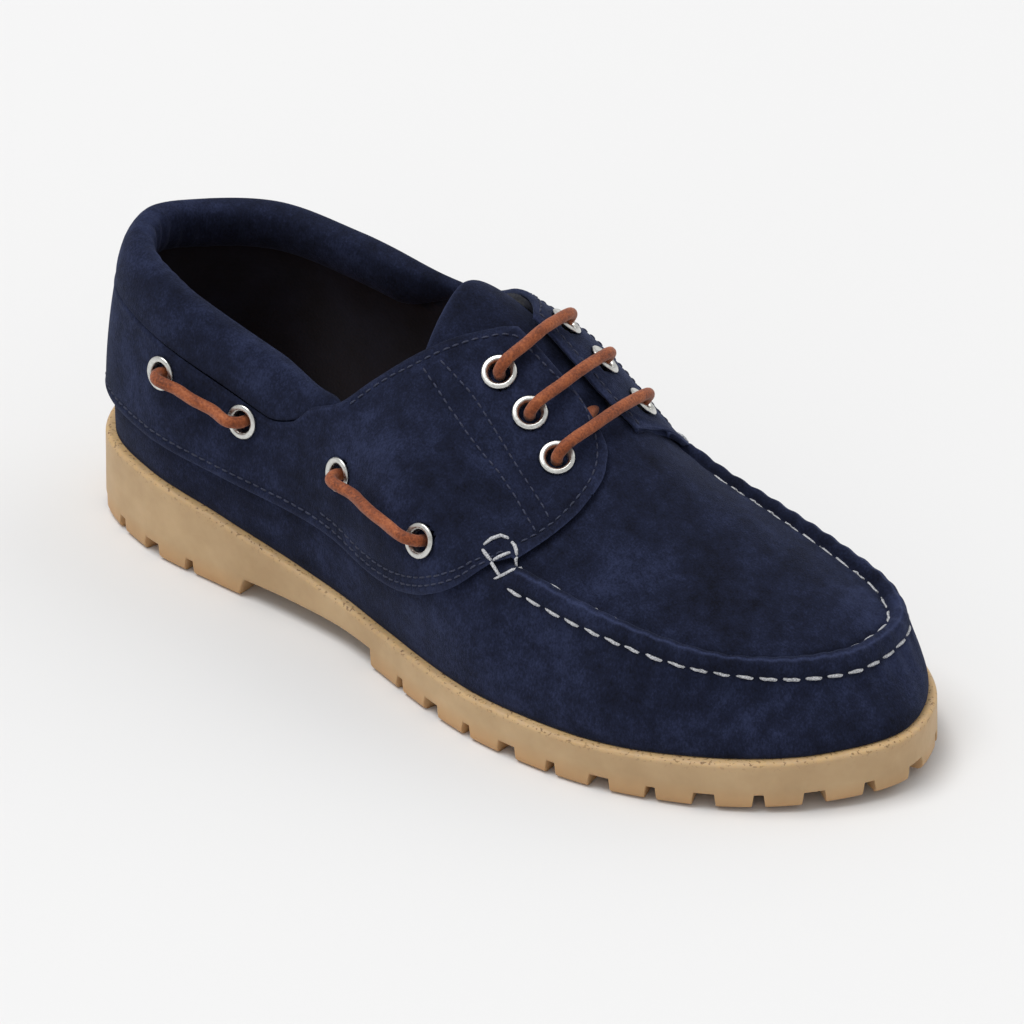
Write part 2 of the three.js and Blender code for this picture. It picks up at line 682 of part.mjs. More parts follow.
function addPiece(name, shape, color, roughness, metalness = 0) {
  const geometry = shape.isBufferGeometry ? shape : toGeometry(shape);
  const piece = new THREE.Mesh(geometry, new THREE.MeshStandardMaterial({ color, roughness, metalness }));
  piece.name = name;
  shoe.add(piece);
}

const NAVY = 0x1f2540;
const TAN_RUBBER = 0xb29470;
const BROWN = 0xa65c35;
const STEEL = 0xc8c8c2;

const outerForm = lastSolid(GAP + FLAP, 0);
const outerSurface = new THREE.Mesh(toGeometry(outerForm));
outerSurface.updateMatrixWorld();
const throatEyelets = throatSpots(outerSurface);
const sideEyelets = sideSpots(outerSurface);
const spots = [...throatEyelets, ...sideEyelets];
const holes = spots.map(eyeletHole).reduce((sum, hole) => sum.add(hole));
const opening = openingCut('lat', -90, HEEL_ROWS[1].topY)
  .add(openingCut('med', HEEL_ROWS[1].topY, 90));
const collarSpace = collar(2 * GAP);
const quarterShell = outerForm.subtract(lastSolid(GAP, 12, 1)).subtract(collarSpace);
const upper = lastSolid(0, 0, 1).subtract(lastSolid(-WALL, 12))
  .subtract(opening).subtract(throatCut()).subtract(holes).subtract(collarSpace);

addPiece('outsole', outsole(), TAN_RUBBER, 0.55);
addPiece('insole', insole(), 0x8a5a30, 0.7);
addPiece('upper', upper, NAVY, 0.95);
addPiece('tongue', tongue(), NAVY, 0.95);
addPiece('collar', collar(), NAVY, 0.95);
addPiece('quarter_outer', quarter(quarterShell, OUTER_FLAP, holes, opening), NAVY, 0.95);
addPiece('quarter_inner', quarter(quarterShell, INNER_FLAP, holes, opening), NAVY, 0.95);
for (const spot of spots) addPiece(spot.name, toSolid(eyeletGeometry(spot)), STEEL, 0.3, 1);
for (let k = 0; k < THROAT_EYELETS.length; k += 1) {
  const across = k + THROAT_EYELETS.length;
  const bar = laceGeometry(outerSurface, throatEyelets[k], throatEyelets[across], BAR_BOW[k]);
  addPiece(`lace_bar_${k + 1}`, toSolid(bar), BROWN, 0.8);
}
SIDES.forEach((side, i) => {
  for (const k of [0, 2]) {
    const first = i * SIDE_EYELETS.length + k;
    const run = laceGeometry(outerSurface, sideEyelets[first], sideEyelets[first + 1], SIDE_BOW);
    addPiece(`side_lace_${side.name}_${k / 2 + 1}`, toSolid(run), BROWN, 0.8);
  }
});

export default shoe;
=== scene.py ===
"""A navy suede boat shoe for the right foot, with a hand-sewn raised toe seam and a lugged
rubber sole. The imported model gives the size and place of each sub-part; this lesson makes
the leather, thread, lace, metal and rubber that cover it, from the same last."""

# %% [markdown]
# ## What is given
# The imported model has already settled how large the shoe is and where each sub-part stands. Hand work
# is never quite even, and one generator with a fixed seed gives that unevenness, so every run sews the
# same shoe.

# %% Load the imported model
import math

import bmesh
import bpy
import numpy as np
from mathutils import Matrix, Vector
from mathutils.bvhtree import BVHTree


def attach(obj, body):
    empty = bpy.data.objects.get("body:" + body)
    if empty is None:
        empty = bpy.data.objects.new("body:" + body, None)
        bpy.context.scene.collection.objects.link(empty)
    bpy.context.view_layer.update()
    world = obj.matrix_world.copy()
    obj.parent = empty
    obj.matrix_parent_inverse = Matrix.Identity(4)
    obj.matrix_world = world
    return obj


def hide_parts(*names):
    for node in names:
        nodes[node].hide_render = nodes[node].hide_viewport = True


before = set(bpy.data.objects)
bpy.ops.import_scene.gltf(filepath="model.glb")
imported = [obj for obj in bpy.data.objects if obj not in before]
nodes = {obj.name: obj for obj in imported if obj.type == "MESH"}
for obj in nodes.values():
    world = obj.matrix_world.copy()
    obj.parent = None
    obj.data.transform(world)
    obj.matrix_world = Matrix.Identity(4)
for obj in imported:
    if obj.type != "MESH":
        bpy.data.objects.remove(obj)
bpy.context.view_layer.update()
rng = np.random.default_rng(7)
print("nodes:", len(nodes))

# %% [markdown]
# ## The last
# A shoemaker works on a last: a solid foot shape. Every leather piece is pulled over it, so one function
# of the last gives all of them. It could be sculpted, but then no two pieces would fit. Here it is a
# short table of cross-sections, joined by cubic curves into a loop round the foot, with a roof-shaped
# crown closing the instep. All the shaping is in millimetres, from the back of the heel, and one function
# turns it into the frame's metres.

# %% Tables of the last
SOLE_LENGTH = 304.0
MIDDLE_Y = -2.5
# between touching parts, and the thickness of the quarters and of the upper
GAP, FLAP, WALL = 0.3, 1.8, 2.0
# sole heights under the ball and the heel, and how far its top and its tread rise at the toe
SOLE_FORE, SOLE_HEEL, TOE_RISE, TOE_SPRING = 14.7, 27.5, 4.4, 3.0
# the sewn ridge, and the x where the boxes at its ends stand
RIDGE_HEIGHT, RIDGE_WIDTH, KEEPER_X = 3.8, 6.5, 190.0
TOE_CENTRE_X, HEEL_CENTRE_X = 262.0, 46.0

# x, then foot y, top y and top z on the outer side, the same on the inner side, and the top edge's sharpness
SECTIONS = np.array([
    (38, -35.0, -27.0, 89.0, 33.0, 28.5, 94.0, 1.0),
    (70, -37.5, -29.5, 82.5, 32.5, 32.0, 92.5, 1.0),
    (100, -38.0, -30.5, 77.0, 31.5, 34.0, 88.5, 0.8),
    (121, -40.0, -31.5, 77.0, 33.5, 36.0, 87.0, 0.3),
    (141, -45.0, -36.0, 75.0, 37.0, 38.0, 83.0, 0.0),
    (158, -50.0, -40.0, 69.0, 41.0, 39.5, 76.0, 0.0),
    (171, -53.3, -45.0, 61.0, 44.5, 41.0, 67.0, 0.2),
    (183, -55.5, -48.8, 54.0, 47.0, 42.5, 57.5, 0.6),
    (202, -56.5, -48.4, 50.2, 50.3, 43.0, 50.6, 1.0),
    (226, -54.4, -45.6, 46.2, 51.5, 43.0, 46.2, 1.0),
    (248, -47.8, -39.5, 42.7, 49.5, 41.8, 42.7, 1.0),
])
# foot x, foot y, top x, top y, top z: round the toe from the outer side, and round the heel
TOE_ROWS = np.array([
    (270.0, -36.8, 266.0, -28.5, 39.9),
    (289.0, -20.0, 280.5, -13.0, 37.6),
    (301.3, 4.0, 288.4, 6.5, 36.5),
    (296.0, 22.5, 286.8, 24.5, 36.8),
    (279.0, 39.2, 275.0, 36.5, 38.5),
])
HEEL_ROWS = np.array([
    (12.0, 20.0, 16.0, 15.0, 93.0),
    (3.6, -1.0, 9.0, -1.0, 94.5),
    (12.0, -22.0, 16.0, -17.0, 93.0),
])
# crest of the instep: x, y, z, and how round the fall is on the outer and inner side
CREST = np.array([
    (30, 0.0, 118.0, 0.40, 0.40),
    (100, 5.5, 116.0, 0.35, 0.60),
    (131, 7.5, 111.5, 0.30, 0.70),
    (145, 8.0, 107.0, 0.27, 0.70),
    (157, 8.0, 101.5, 0.26, 0.70),
    (170, 7.8, 93.0, 0.26, 0.70),
    (183, 7.2, 84.0, 0.32, 0.70),
    (200, 6.2, 73.5, 0.55, 0.70),
    (226, 6.0, 62.0, 0.90, 0.90),
    (248, 7.0, 54.0, 1.00, 1.00),
    (262, 8.0, 49.5, 1.00, 1.00),
    (292, 9.0, 41.0, 1.00, 1.00),
])
# topline in front of the ankle: x, z on the outer side, z on the inner side
TOPLINE = np.array([
    (106, 75.5, 87.0), (113, 79.0, 86.5), (121, 87.0, 90.5), (133, 97.5, 98.5),
    (140, 101.8, 102.0), (147, 104.2, 104.4), (153, 105.5, 105.5),
])
print("the last: %d sections, %d toe rows, %d heel rows" % (len(SECTIONS), len(TOE_ROWS), len(HEEL_ROWS)))

# %% [markdown]
# ## Curves through few points
# A pattern maker bends a thin batten round a few pins and gets a line without kinks. A cubic curve does
# the same: it goes through every point, and its slope at a point leans on both neighbours. One polynomial
# for the whole line would swing between the pins.

# %% Curves
def cubic(knots, values, at, period=0.0):
    """Cubic through (knots, values) whose slope at a knot is the mean of the slopes on both
    sides, each weighted by the other's length. With a period the curve closes on itself."""
    knots, values, at = np.asarray(knots, float), np.asarray(values, float), np.asarray(at, float)
    if period:
        knots = np.concatenate([knots[-2:] - period, knots, knots[:3] + period])
        values = np.concatenate([values[-2:], values, values[:3]])
        at = at % period
    step = np.diff(knots)
    rate = np.diff(values) / step
    slope = np.empty_like(values)
    slope[0], slope[-1] = rate[0], rate[-1]
    slope[1:-1] = (rate[:-1] * step[1:] + rate[1:] * step[:-1]) / (step[:-1] + step[1:])
    i = np.clip(np.searchsorted(knots, at, side="left") - 1, 0, len(step) - 1)
    f = (at - knots[i]) / step[i]
    f2, f3 = f * f, f * f * f
    return (values[i] * (2 * f3 - 3 * f2 + 1) + slope[i] * step[i] * (f3 - 2 * f2 + f)
            + values[i + 1] * (3 * f2 - 2 * f3) + slope[i + 1] * step[i] * (f3 - f2))


def smooth(v):
    """0 below 0, 1 above 1, and 3v^2 - 2v^3 between."""
    c = np.clip(v, 0, 1)
    return c * c * (3 - 2 * c)


def bell(distance, width):
    """1 at no distance, falling as exp(-(d / width)^2)."""
    return np.exp(-(distance / width) ** 2)


def running(points):
    """Running length along each line of points, from 0."""
    step = np.linalg.norm(np.diff(points, axis=-2), axis=-1)
    return np.concatenate([np.zeros(step.shape[:-1] + (1,)), np.cumsum(step, axis=-1)], -1)


def unit(v):
    return v / np.maximum(np.linalg.norm(v, axis=-1, keepdims=True), 1e-12)


print("halfway between 0 and 1 the smooth step is %.2f, and the bell is %.2f" % (smooth(0.5), bell(0.5, 1)))

# %% [markdown]
# ## One loop round the foot
# A last has no corners, so whatever follows it must pass smoothly from the outer side over the toe to the
# inner side and back round the heel. Two halves would meet in a crease. The rows are laid once round the
# foot instead, as a closed loop with a cubic curve through every column of the table, and a place on the
# shoe is then one number: how many rows round it lies.

# %% The loop round the foot
def crest(column, x):
    return cubic(CREST[:, 0], CREST[:, column], x)


def sole_top(x):
    """Height of the feather edge: the fore part, plus the heel's lift, plus the toe's rise."""
    heel = (SOLE_HEEL - SOLE_FORE) * smooth((140 - x) / 110)
    return SOLE_FORE + heel + TOE_RISE * np.clip((x - 211) / 93, 0, 1) ** 2


def tread(x):
    return TOE_SPRING * np.clip((x - 232) / 72, 0, 1) ** 2


def loop_table():
    """Rows once round the foot: back of the heel, outer side, toe, inner side."""
    ones = np.ones((len(TOE_ROWS), 1))
    outer = np.column_stack([SECTIONS[:, [0, 1, 0, 2, 3]], SECTIONS[:, 7]])
    inner = np.column_stack([SECTIONS[:, [0, 4, 0, 5, 6]], SECTIONS[:, 7]])[::-1]
    toe = np.column_stack([TOE_ROWS, ones])
    heel = np.column_stack([HEEL_ROWS, ones[:3]])
    return np.vstack([heel[1:2], heel[2:3], outer, toe, inner, heel[0:1]])


LOOP = loop_table()
ROWS = len(LOOP)
around = np.linalg.norm(np.roll(LOOP[:, :2], -1, axis=0) - LOOP[:, :2], axis=1)
LOOP_LENGTH = around.sum()
LOOP_KNOTS = np.concatenate([[0], np.cumsum(around)[:-1]])
print("the foot measures %.0f mm round its edge" % LOOP_LENGTH)


def loop_at(u):
    """Row values at u rows round the loop. u runs 0 to ROWS; the pair across the shoe is
    ROWS - u, and both share one point of the crest."""
    u = np.asarray(u, float) % ROWS
    knots = np.append(LOOP_KNOTS, LOOP_LENGTH)

    def values(at):
        s = np.interp(at % ROWS, np.arange(ROWS + 1), knots)
        return np.stack([cubic(LOOP_KNOTS, LOOP[:, k], s, LOOP_LENGTH) for k in range(6)], -1)

    here, across = values(u), values(ROWS - u)
    cx = np.clip((here[:, 2] + across[:, 2]) / 2, HEEL_CENTRE_X, TOE_CENTRE_X)
    return here, cx, crest(1, cx)


def rows_by_length(u0, u1, step):
    """Parameters from u0 to u1, about `step` millimetres apart along the foot's edge."""
    knots = np.append(LOOP_KNOTS, LOOP_LENGTH)
    s0, s1 = np.interp([u0, u1], np.arange(ROWS + 1), knots)
    s = np.linspace(s0, s1, max(2, int(abs(s1 - s0) / step)))
    return np.interp(s, knots, np.arange(ROWS + 1))

# %% [markdown]
# ## The surface of the last
# From the sole the leather stands up as a wall, turns over a rounded edge and closes across the top. The
# wall could be straight, but a real last bellies out over the sole, so it is a cubic curve with a handle
# at each end. The crown falls from the crest like a roof with a rounded ridge, sharper over the instep
# and flatter towards the toe, and every later piece is read off this one surface.

# %% The surface of the last
def crown(row, cx, cy, inset):
    """Point of the crown `inset` mm in from the top edge: a straight run to the crest in plan, and
    a fall from the crest's height shaped like a roof, sqrt(r^2 + k^2) scaled to reach 1."""
    tx, ty, tz = row[:, 2, None], row[:, 3, None], row[:, 4, None]
    cx, cy = cx[:, None], cy[:, None]
    reach = np.hypot(tx - cx, ty - cy)
    r = np.clip(1 - inset / reach, 0, 1)
    x, y = cx + (tx - cx) * r, cy + (ty - cy) * r
    k = np.where(ty < cy, crest(3, x), crest(4, x))
    roof = (np.sqrt(r * r + k * k) - k) / (np.sqrt(1 + k * k) - k)
    return np.stack([x, y, crest(2, x) + (tz - crest(2, tx)) * roof], -1)


def wall(row, cx, cy, t):
    """Wall from the sole (t = 0) to the top edge (t = 1): a cubic with one handle standing on the
    foot line and one hanging from the top edge, steep at a corner and rolled where it is round."""
    foot = np.stack([row[:, 0], row[:, 1], sole_top(row[:, 0]) + GAP], -1)
    top = crown(row, cx, cy, np.zeros((len(row), 1)))[:, 0]
    out = np.stack([row[:, 2] - cx, row[:, 3] - cy, np.zeros(len(row))], -1)
    out /= np.linalg.norm(out, axis=1, keepdims=True)
    rolled = top - crown(row, cx, cy, np.full((len(row), 1), 1.5))[:, 0]
    rolled /= np.linalg.norm(rolled, axis=1, keepdims=True)
    steep = out * 0.22 + (0, 0, -1)
    steep /= np.linalg.norm(steep, axis=1, keepdims=True)
    edge = np.clip(row[:, 5:6], 0, 1)
    down = rolled * (1 - edge) + steep * edge
    down /= np.linalg.norm(down, axis=1, keepdims=True)
    height = (top[:, 2] - foot[:, 2])[:, None]
    low = foot + out * 1.4 + np.array([0, 0, 0.36]) * height
    high = top + down * 0.36 * height
    t = t[..., None]
    return ((1 - t) ** 3 * foot[:, None] + 3 * (1 - t) ** 2 * t * low[:, None]
            + 3 * (1 - t) * t * t * high[:, None] + t ** 3 * top[:, None])


def last_grid(u, walls=40, seam=1, crowns=60):
    """Grid of the last: for each u, points up the wall, across the toe seam's band and in to the
    crest. Returns the grid, each point's inset from the top edge (negative on the wall) and u."""
    row, cx, cy = loop_at(u)
    reach = np.hypot(row[:, 2] - cx, row[:, 3] - cy)
    t = np.linspace(0, 1, walls)[None].repeat(len(u), 0)
    band = np.linspace(0, RIDGE_WIDTH, seam + 1)[1:][None].repeat(len(u), 0)
    rest = RIDGE_WIDTH + (reach - RIDGE_WIDTH)[:, None] * np.linspace(0, 1, crowns + 1)[None, 1:]
    grid = np.concatenate([wall(row, cx, cy, t), crown(row, cx, cy, np.hstack([band, rest]))], 1)
    inset = np.hstack([(t - 1) * (row[:, 4] - 20)[:, None], band, rest])
    return grid, inset, row


def grid_normals(grid):
    """Unit normals of a grid: the cross product of its two directions."""
    return unit(np.cross(np.gradient(grid, axis=0), np.gradient(grid, axis=1)))


def last_normals(grid, wrap=True):
    """Normals of a grid of the last. The last point of a column stands on the crest, which is level
    across the foot, so its normal leans only with the crest's own slope dz/dx."""
    if wrap:
        n = grid_normals(np.concatenate([grid[-2:], grid, grid[:2]]))[2:-2]
    else:
        n = grid_normals(grid)
    x = grid[:, -1, 0]
    slope = crest(2, x + 0.5) - crest(2, x - 0.5)
    n[:, -1] = unit(np.stack([-slope, 0 * x, 1 + 0 * x], -1))
    return n


def to_frame(points):
    """Millimetres from the heel to metres in the frame: the same shift as the CAD part's."""
    p = np.asarray(points, float)
    return (p - (SOLE_LENGTH / 2, MIDDLE_Y, 0)) / 1000


print("the instep's crest: %.0f mm at x = 131, %.0f mm at x = 200" % (crest(2, 131), crest(2, 200)))

# %% [markdown]
# ## From grids to pieces
# A cut of leather is a sheet with two faces and an edge that shows when it is cut. Each sheet is a grid
# of points turned into quads, and thickened inwards afterwards, with its own finish for the back and for
# the edge. Points that fall together at the crest are merged, so that no seam stays open.

# %% Grids into meshes
def grid_faces(n, m, wrap=False, keep=None):
    """Quads of an n by m grid of points, wrapped round the first direction if asked."""
    i = np.arange(n if wrap else n - 1)[:, None]
    j = np.arange(m - 1)[None]
    k = (i + 1) % n
    quads = np.stack(np.broadcast_arrays(i * m + j, k * m + j, k * m + j + 1, i * m + j + 1), -1)
    quads = quads.reshape(-1, 4)
    return quads if keep is None else quads[keep.reshape(-1)]


def ring_faces(n, m, start=0, wrap=False):
    """Quads of n closed rings of m points each, facing out, and closed along too if asked."""
    i, j = np.arange(n if wrap else n - 1)[:, None], np.arange(m)[None]
    ni, nj = (i + 1) % n, (j + 1) % m
    quads = np.stack(np.broadcast_arrays(i * m + j, i * m + nj, ni * m + nj, ni * m + j), -1)
    return quads.reshape(-1, 4) + start


def join_parts(parts):
    """Many (grid of points, faces) as one list of points and one of faces."""
    points, faces, start = [], [], 0
    for grid, quads in parts:
        points.append(np.reshape(grid, (-1, 3)))
        faces.append(quads + start)
        start += len(points[-1])
    return np.concatenate(points), np.concatenate(faces)


def add_mesh(name, points, faces, materials, attributes=None, merge=0.0):
    """One object from arrays of points (mm) and faces, standing at the origin."""
    mesh = bpy.data.meshes.new(name)
    points = to_frame(points).reshape(-1, 3)
    faces = np.asarray(faces)
    mesh.vertices.add(len(points))
    mesh.vertices.foreach_set("co", points.astype(np.float32).ravel())
    mesh.loops.add(faces.size)
    mesh.loops.foreach_set("vertex_index", faces.astype(np.int32).ravel())
    mesh.polygons.add(len(faces))
    width = faces.shape[1]
    mesh.polygons.foreach_set("loop_start", np.arange(0, faces.size, width, dtype=np.int32))
    mesh.polygons.foreach_set("loop_total", np.full(len(faces), width, np.int32))
    for key, values in (attributes or {}).items():
        layer = mesh.attributes.new(key, "FLOAT", "POINT")
        layer.data.foreach_set("value", np.asarray(values, np.float32).ravel())
    for material in materials:
        mesh.materials.append(material)
    mesh.update(calc_edges=True)
    mesh.validate()
    mesh.shade_smooth()
    piece = bpy.data.objects.new(name, mesh)
    bpy.context.scene.collection.objects.link(piece)
    tidy_mesh(piece, merge)
    return piece


def tidy_mesh(piece, merge):
    """Drops loose points and, if asked, merges points closer than `merge` millimetres."""
    bm = bmesh.new()
    bm.from_mesh(piece.data)
    if merge:
        bmesh.ops.remove_doubles(bm, verts=bm.verts, dist=merge / 1000)
        bmesh.ops.dissolve_degenerate(bm, edges=bm.edges, dist=1e-7)
    loose = [v for v in bm.verts if not v.link_faces]
    bmesh.ops.delete(bm, geom=loose, context="VERTS")
    bm.to_mesh(piece.data)
    bm.free()

# %% [markdown]
# ## Thickness
# Suede for such a shoe is about two millimetres thick, and every cut edge shows it. The outer face is the
# one that was shaped on the last, so the sheet grows inwards only. Then each finished piece is set to move
# with the one body, and the model's nodes it stands for are hidden.

# %% Thickness and names
def apply_modifiers(piece):
    """Keeps the mesh as its modifiers leave it."""
    depsgraph = bpy.context.evaluated_depsgraph_get()
    mesh = bpy.data.meshes.new_from_object(piece.evaluated_get(depsgraph))
    old = piece.data
    piece.modifiers.clear()
    piece.data = mesh
    bpy.data.meshes.remove(old)


def thicken(piece, thickness, inside, rim):
    """Gives a sheet its thickness inwards, with other material slots for its back and its edge."""
    solid = piece.modifiers.new("thickness", "SOLIDIFY")
    solid.thickness = thickness / 1000
    solid.offset = -1
    solid.use_even_offset = False
    solid.material_offset = inside
    solid.material_offset_rim = rim
    apply_modifiers(piece)


def settle(piece, slot, *replaced):
    """Every finished piece rides on the one body, and the model's parts it replaces are hidden."""
    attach(piece, "root")
    if replaced:
        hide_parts(*replaced)
    print("%-22s %6d faces" % (piece.name, len(piece.data.polygons)))
    return piece

# %% [markdown]
# ## How a finish is put together
# Every finish here is the same few steps: a pattern in space, a ramp that turns it into colour, and bumps
# for the skin. Written node by node they would hide what each one is for, so a small class does the
# wiring, and a finish below reads as a recipe.

# %% Material helpers
def linear(red, green, blue):
    """An sRGB colour of 0 to 255 as linear light, the inverse of the display curve."""
    c = np.array([red, green, blue]) / 255
    c = np.where(c <= 0.04045, c / 12.92, ((c + 0.055) / 1.055) ** 2.4)
    return (*c.tolist(), 1.0)


class Paint:
    """A material under construction: its node tree, its shader and the object's coordinates."""

    def __init__(self, name, roughness=0.6, **sockets):
        self.material = bpy.data.materials.new(name)
        self.material.use_nodes = True
        self.tree = self.material.node_tree
        self.shader = self.tree.nodes["Principled BSDF"]
        self.shader.inputs["Roughness"].default_value = roughness
        for key, value in sockets.items():
            self.shader.inputs[key.replace("_", " ")].default_value = value
        self.place = self.add("ShaderNodeTexCoord").outputs["Object"]

    def add(self, kind, **values):
        """A node whose named inputs are set or linked, whichever the value is."""
        node = self.tree.nodes.new(kind)
        for key, value in values.items():
            if hasattr(node, key):
                setattr(node, key, value)
            else:
                self.feed(node.inputs[key.replace("_", " ")], value)
        return node

    def feed(self, socket, value):
        if isinstance(value, bpy.types.NodeSocket):
            self.tree.links.new(value, socket)
        else:
            socket.default_value = value

    def stretched(self, scale):
        return self.add("ShaderNodeMapping", Vector=self.place, Scale=scale).outputs[0]

    def noise(self, scale, detail=3.0, rough=0.6, place=None):
        node = self.add("ShaderNodeTexNoise", Vector=place or self.place, Scale=scale,
                        Detail=detail, Roughness=rough)
        return node.outputs["Fac"]

    def attribute(self, name):
        return self.add("ShaderNodeAttribute", attribute_name=name).outputs["Fac"]

    def math(self, operation, a, b=0.0):
        node = self.tree.nodes.new("ShaderNodeMath")
        node.operation = operation
        self.feed(node.inputs[0], a)
        self.feed(node.inputs[1], b)
        return node.outputs[0]

    def steps(self, value, *stops):
        """A colour ramp from (position, colour) pairs."""
        node = self.add("ShaderNodeValToRGB", Fac=value)
        elements = node.color_ramp.elements
        while len(elements) < len(stops):
            elements.new(0.5)
        for element, (position, colour) in zip(elements, stops):
            element.position = position
            element.color = colour
        return node.outputs["Color"]

    def span(self, value, low, high, to_low=0.0, to_high=1.0):
        node = self.tree.nodes.new("ShaderNodeMapRange")
        for key, v in zip((0, 1, 2, 3, 4), (value, low, high, to_low, to_high)):
            self.feed(node.inputs[key], v)
        return node.outputs[0]

    def mix(self, share, a, b):
        node = self.tree.nodes.new("ShaderNodeMix")
        node.data_type = "RGBA"
        self.feed(node.inputs[0], share)
        self.feed(node.inputs[6], a)
        self.feed(node.inputs[7], b)
        return node.outputs[2]

    def colour(self, value):
        self.feed(self.shader.inputs["Base Color"], value)

    def bumps(self, *layers):
        """Stacks bumps: (height, strength, depth in millimetres) each."""
        normal = None
        for height, strength, depth in layers:
            node = self.add("ShaderNodeBump", Strength=strength, Distance=depth / 1000, Height=height)
            if normal is not None:
                self.feed(node.inputs["Normal"], normal)
            normal = node.outputs[0]
        self.feed(self.shader.inputs["Normal"], normal)

# %% [markdown]
# ## Suede and lining
# Suede is leather with its flesh side brushed up into a nap. The nap lies in different directions, so the
# same dye reads lighter and darker in soft patches, and fibres standing at the rim of a form catch the
# light. An even noise would look like felt, so three sizes are used: patches of a few centimetres, finger
# marks of a few millimetres, and the fibres themselves, with sheen for the fibres seen edge on.

# %% Suede
def suede(name, dark, mid, light, sheen=0.35):
    """Nap colour = patches (3 cm) + finger marks (6 mm) + fibres (0.5 mm), through a ramp."""
    paint = Paint(name, roughness=0.95, Sheen_Weight=sheen, Sheen_Roughness=0.35,
                  Sheen_Tint=linear(128, 140, 178), Specular_IOR_Level=0.12)
    patches = paint.noise(26, 4.0, 0.62)
    marks = paint.noise(150, 5.0, 0.7)
    fibres = paint.noise(1500, 4.0, 0.75, paint.stretched((1.0, 1.0, 0.55)))
    tone = paint.math("ADD", paint.math("MULTIPLY", patches, 0.40), paint.math("MULTIPLY", marks, 0.32))
    tone = paint.math("ADD", tone, paint.math("MULTIPLY", fibres, 0.34))
    nap = paint.steps(tone, (0.40, dark), (0.53, mid), (0.66, light))
    fray = paint.math("MULTIPLY", paint.attribute("fray"), paint.span(fibres, 0.35, 0.65, 0.45, 1.0))
    raw = linear(58, 66, 98)
    # painted shade: the per-point shade value darkens the suede towards near black, in the ridge's grooves,
    # along the upper's foot and at the collar's seam
    shade = paint.math("MULTIPLY", paint.attribute("shade"), 1.0)
    paint.colour(paint.mix(shade, paint.mix(fray, nap, raw), linear(13, 16, 28)))
    paint.bumps((marks, 0.4, 0.4), (fibres, 0.9, 0.34))
    return paint.material


NAVY = suede("navy_suede", linear(12, 14, 25), linear(26, 31, 51), linear(45, 52, 80), 0.2)
# a lighter copy of the same navy suede for the inner quarter: painted light, so the far flap reads brighter
NAVY_PAINTED_LIT = suede("navy_suede_painted_lit", linear(13, 16, 30), linear(29, 35, 57), linear(50, 58, 87), 0.35)
NAVY_EDGE = suede("cut_suede_edge", linear(24, 28, 46), linear(36, 42, 66), linear(54, 62, 90), 0.3)


def lining():
    """Dark lining leather: a fine grain, a little gloss and soft darker patches at random."""
    paint = Paint("dark_lining", roughness=0.75, Sheen_Weight=0.15, Specular_IOR_Level=0.2)
    marks = paint.noise(60, 4.0)
    grain = paint.add("ShaderNodeTexVoronoi", Vector=paint.place, Scale=900.0).outputs["Distance"]
    paint.colour(paint.steps(marks, (0.35, linear(14, 16, 27)), (0.7, linear(26, 30, 46))))
    paint.bumps((grain, 0.3, 0.15))
    return paint.material


LINING = lining()


def footbed():
    """Tan vegetable-dyed leather: slow colour drift and pores."""
    paint = Paint("tan_footbed", roughness=0.55)
    drift = paint.noise(40, 3.0)
    pores = paint.add("ShaderNodeTexVoronoi", Vector=paint.place, Scale=1400.0).outputs["Distance"]
    paint.colour(paint.steps(drift, (0.3, linear(150, 84, 34)), (0.7, linear(198, 122, 58))))
    paint.bumps((pores, 0.35, 0.12), (drift, 0.2, 0.4))
    return paint.material


TAN = footbed()


print("leathers:", NAVY.name, NAVY_PAINTED_LIT.name, NAVY_EDGE.name, LINING.name, TAN.name)

# %% [markdown]
# ## Rubber, thread, lace and metal
# Gum rubber is cloudy and a little clear, so thin lugs would glow warmer than the thick wall; that glow is
# painted, as a warmer colour on the lug tips. The cement leaves specks and a scuffed rim where the upper
# meets it. A flat tan would look like plastic. Waxed thread, rawhide and plated brass are small on the
# shoe, so each has one grain of the right size and one slow drift.

# %% Rubber, thread, lace and metal
def sole_rubber():
    """Moulded gum rubber: cloudy tan, with a painted glow (a warmer colour on the thin lug tips, where light
    would pass through), brown specks of cement along the joint (attribute `joint`) and a scuffed, matt skin."""
    paint = Paint("gum_rubber", roughness=0.55, Subsurface_Weight=0.12, Subsurface_Scale=0.004,
                  Specular_IOR_Level=0.35)
    paint.shader.inputs["Subsurface Radius"].default_value = (1.0, 0.5, 0.25)
    cloud = paint.noise(45, 4.0, 0.6)
    skin = paint.noise(420, 4.0, 0.65)
    body = paint.steps(cloud, (0.3, linear(176, 146, 108)), (0.7, linear(196, 167, 128)))
    height = paint.add("ShaderNodeSeparateXYZ", Vector=paint.place).outputs["Z"]
    # painted glow: the lowest 8.5 mm, where the lug tips are, is mixed towards a warmer orange
    near_tip = paint.span(height, 0.0085, 0.0, 0.0, 0.8)
    tip = paint.math("MULTIPLY", near_tip, paint.span(cloud, 0.3, 0.7, 0.5, 1.0))
    body = paint.mix(tip, body, linear(190, 138, 84))
    specks = paint.math("GREATER_THAN", paint.noise(900, 2.0, 0.5), 0.62)
    specks = paint.math("MULTIPLY", specks, paint.attribute("joint"))
    body = paint.mix(paint.math("MULTIPLY", specks, 0.75), body, linear(84, 52, 28))
    rubbed = paint.math("MULTIPLY", paint.attribute("joint"), paint.span(skin, 0.4, 0.62))
    paint.colour(paint.mix(paint.math("MULTIPLY", rubbed, 0.45), body, linear(206, 170, 112)))
    paint.bumps((skin, 0.25, 0.2), (paint.noise(90, 3.0), 0.3, 0.6))
    return paint.material


RUBBER = sole_rubber()


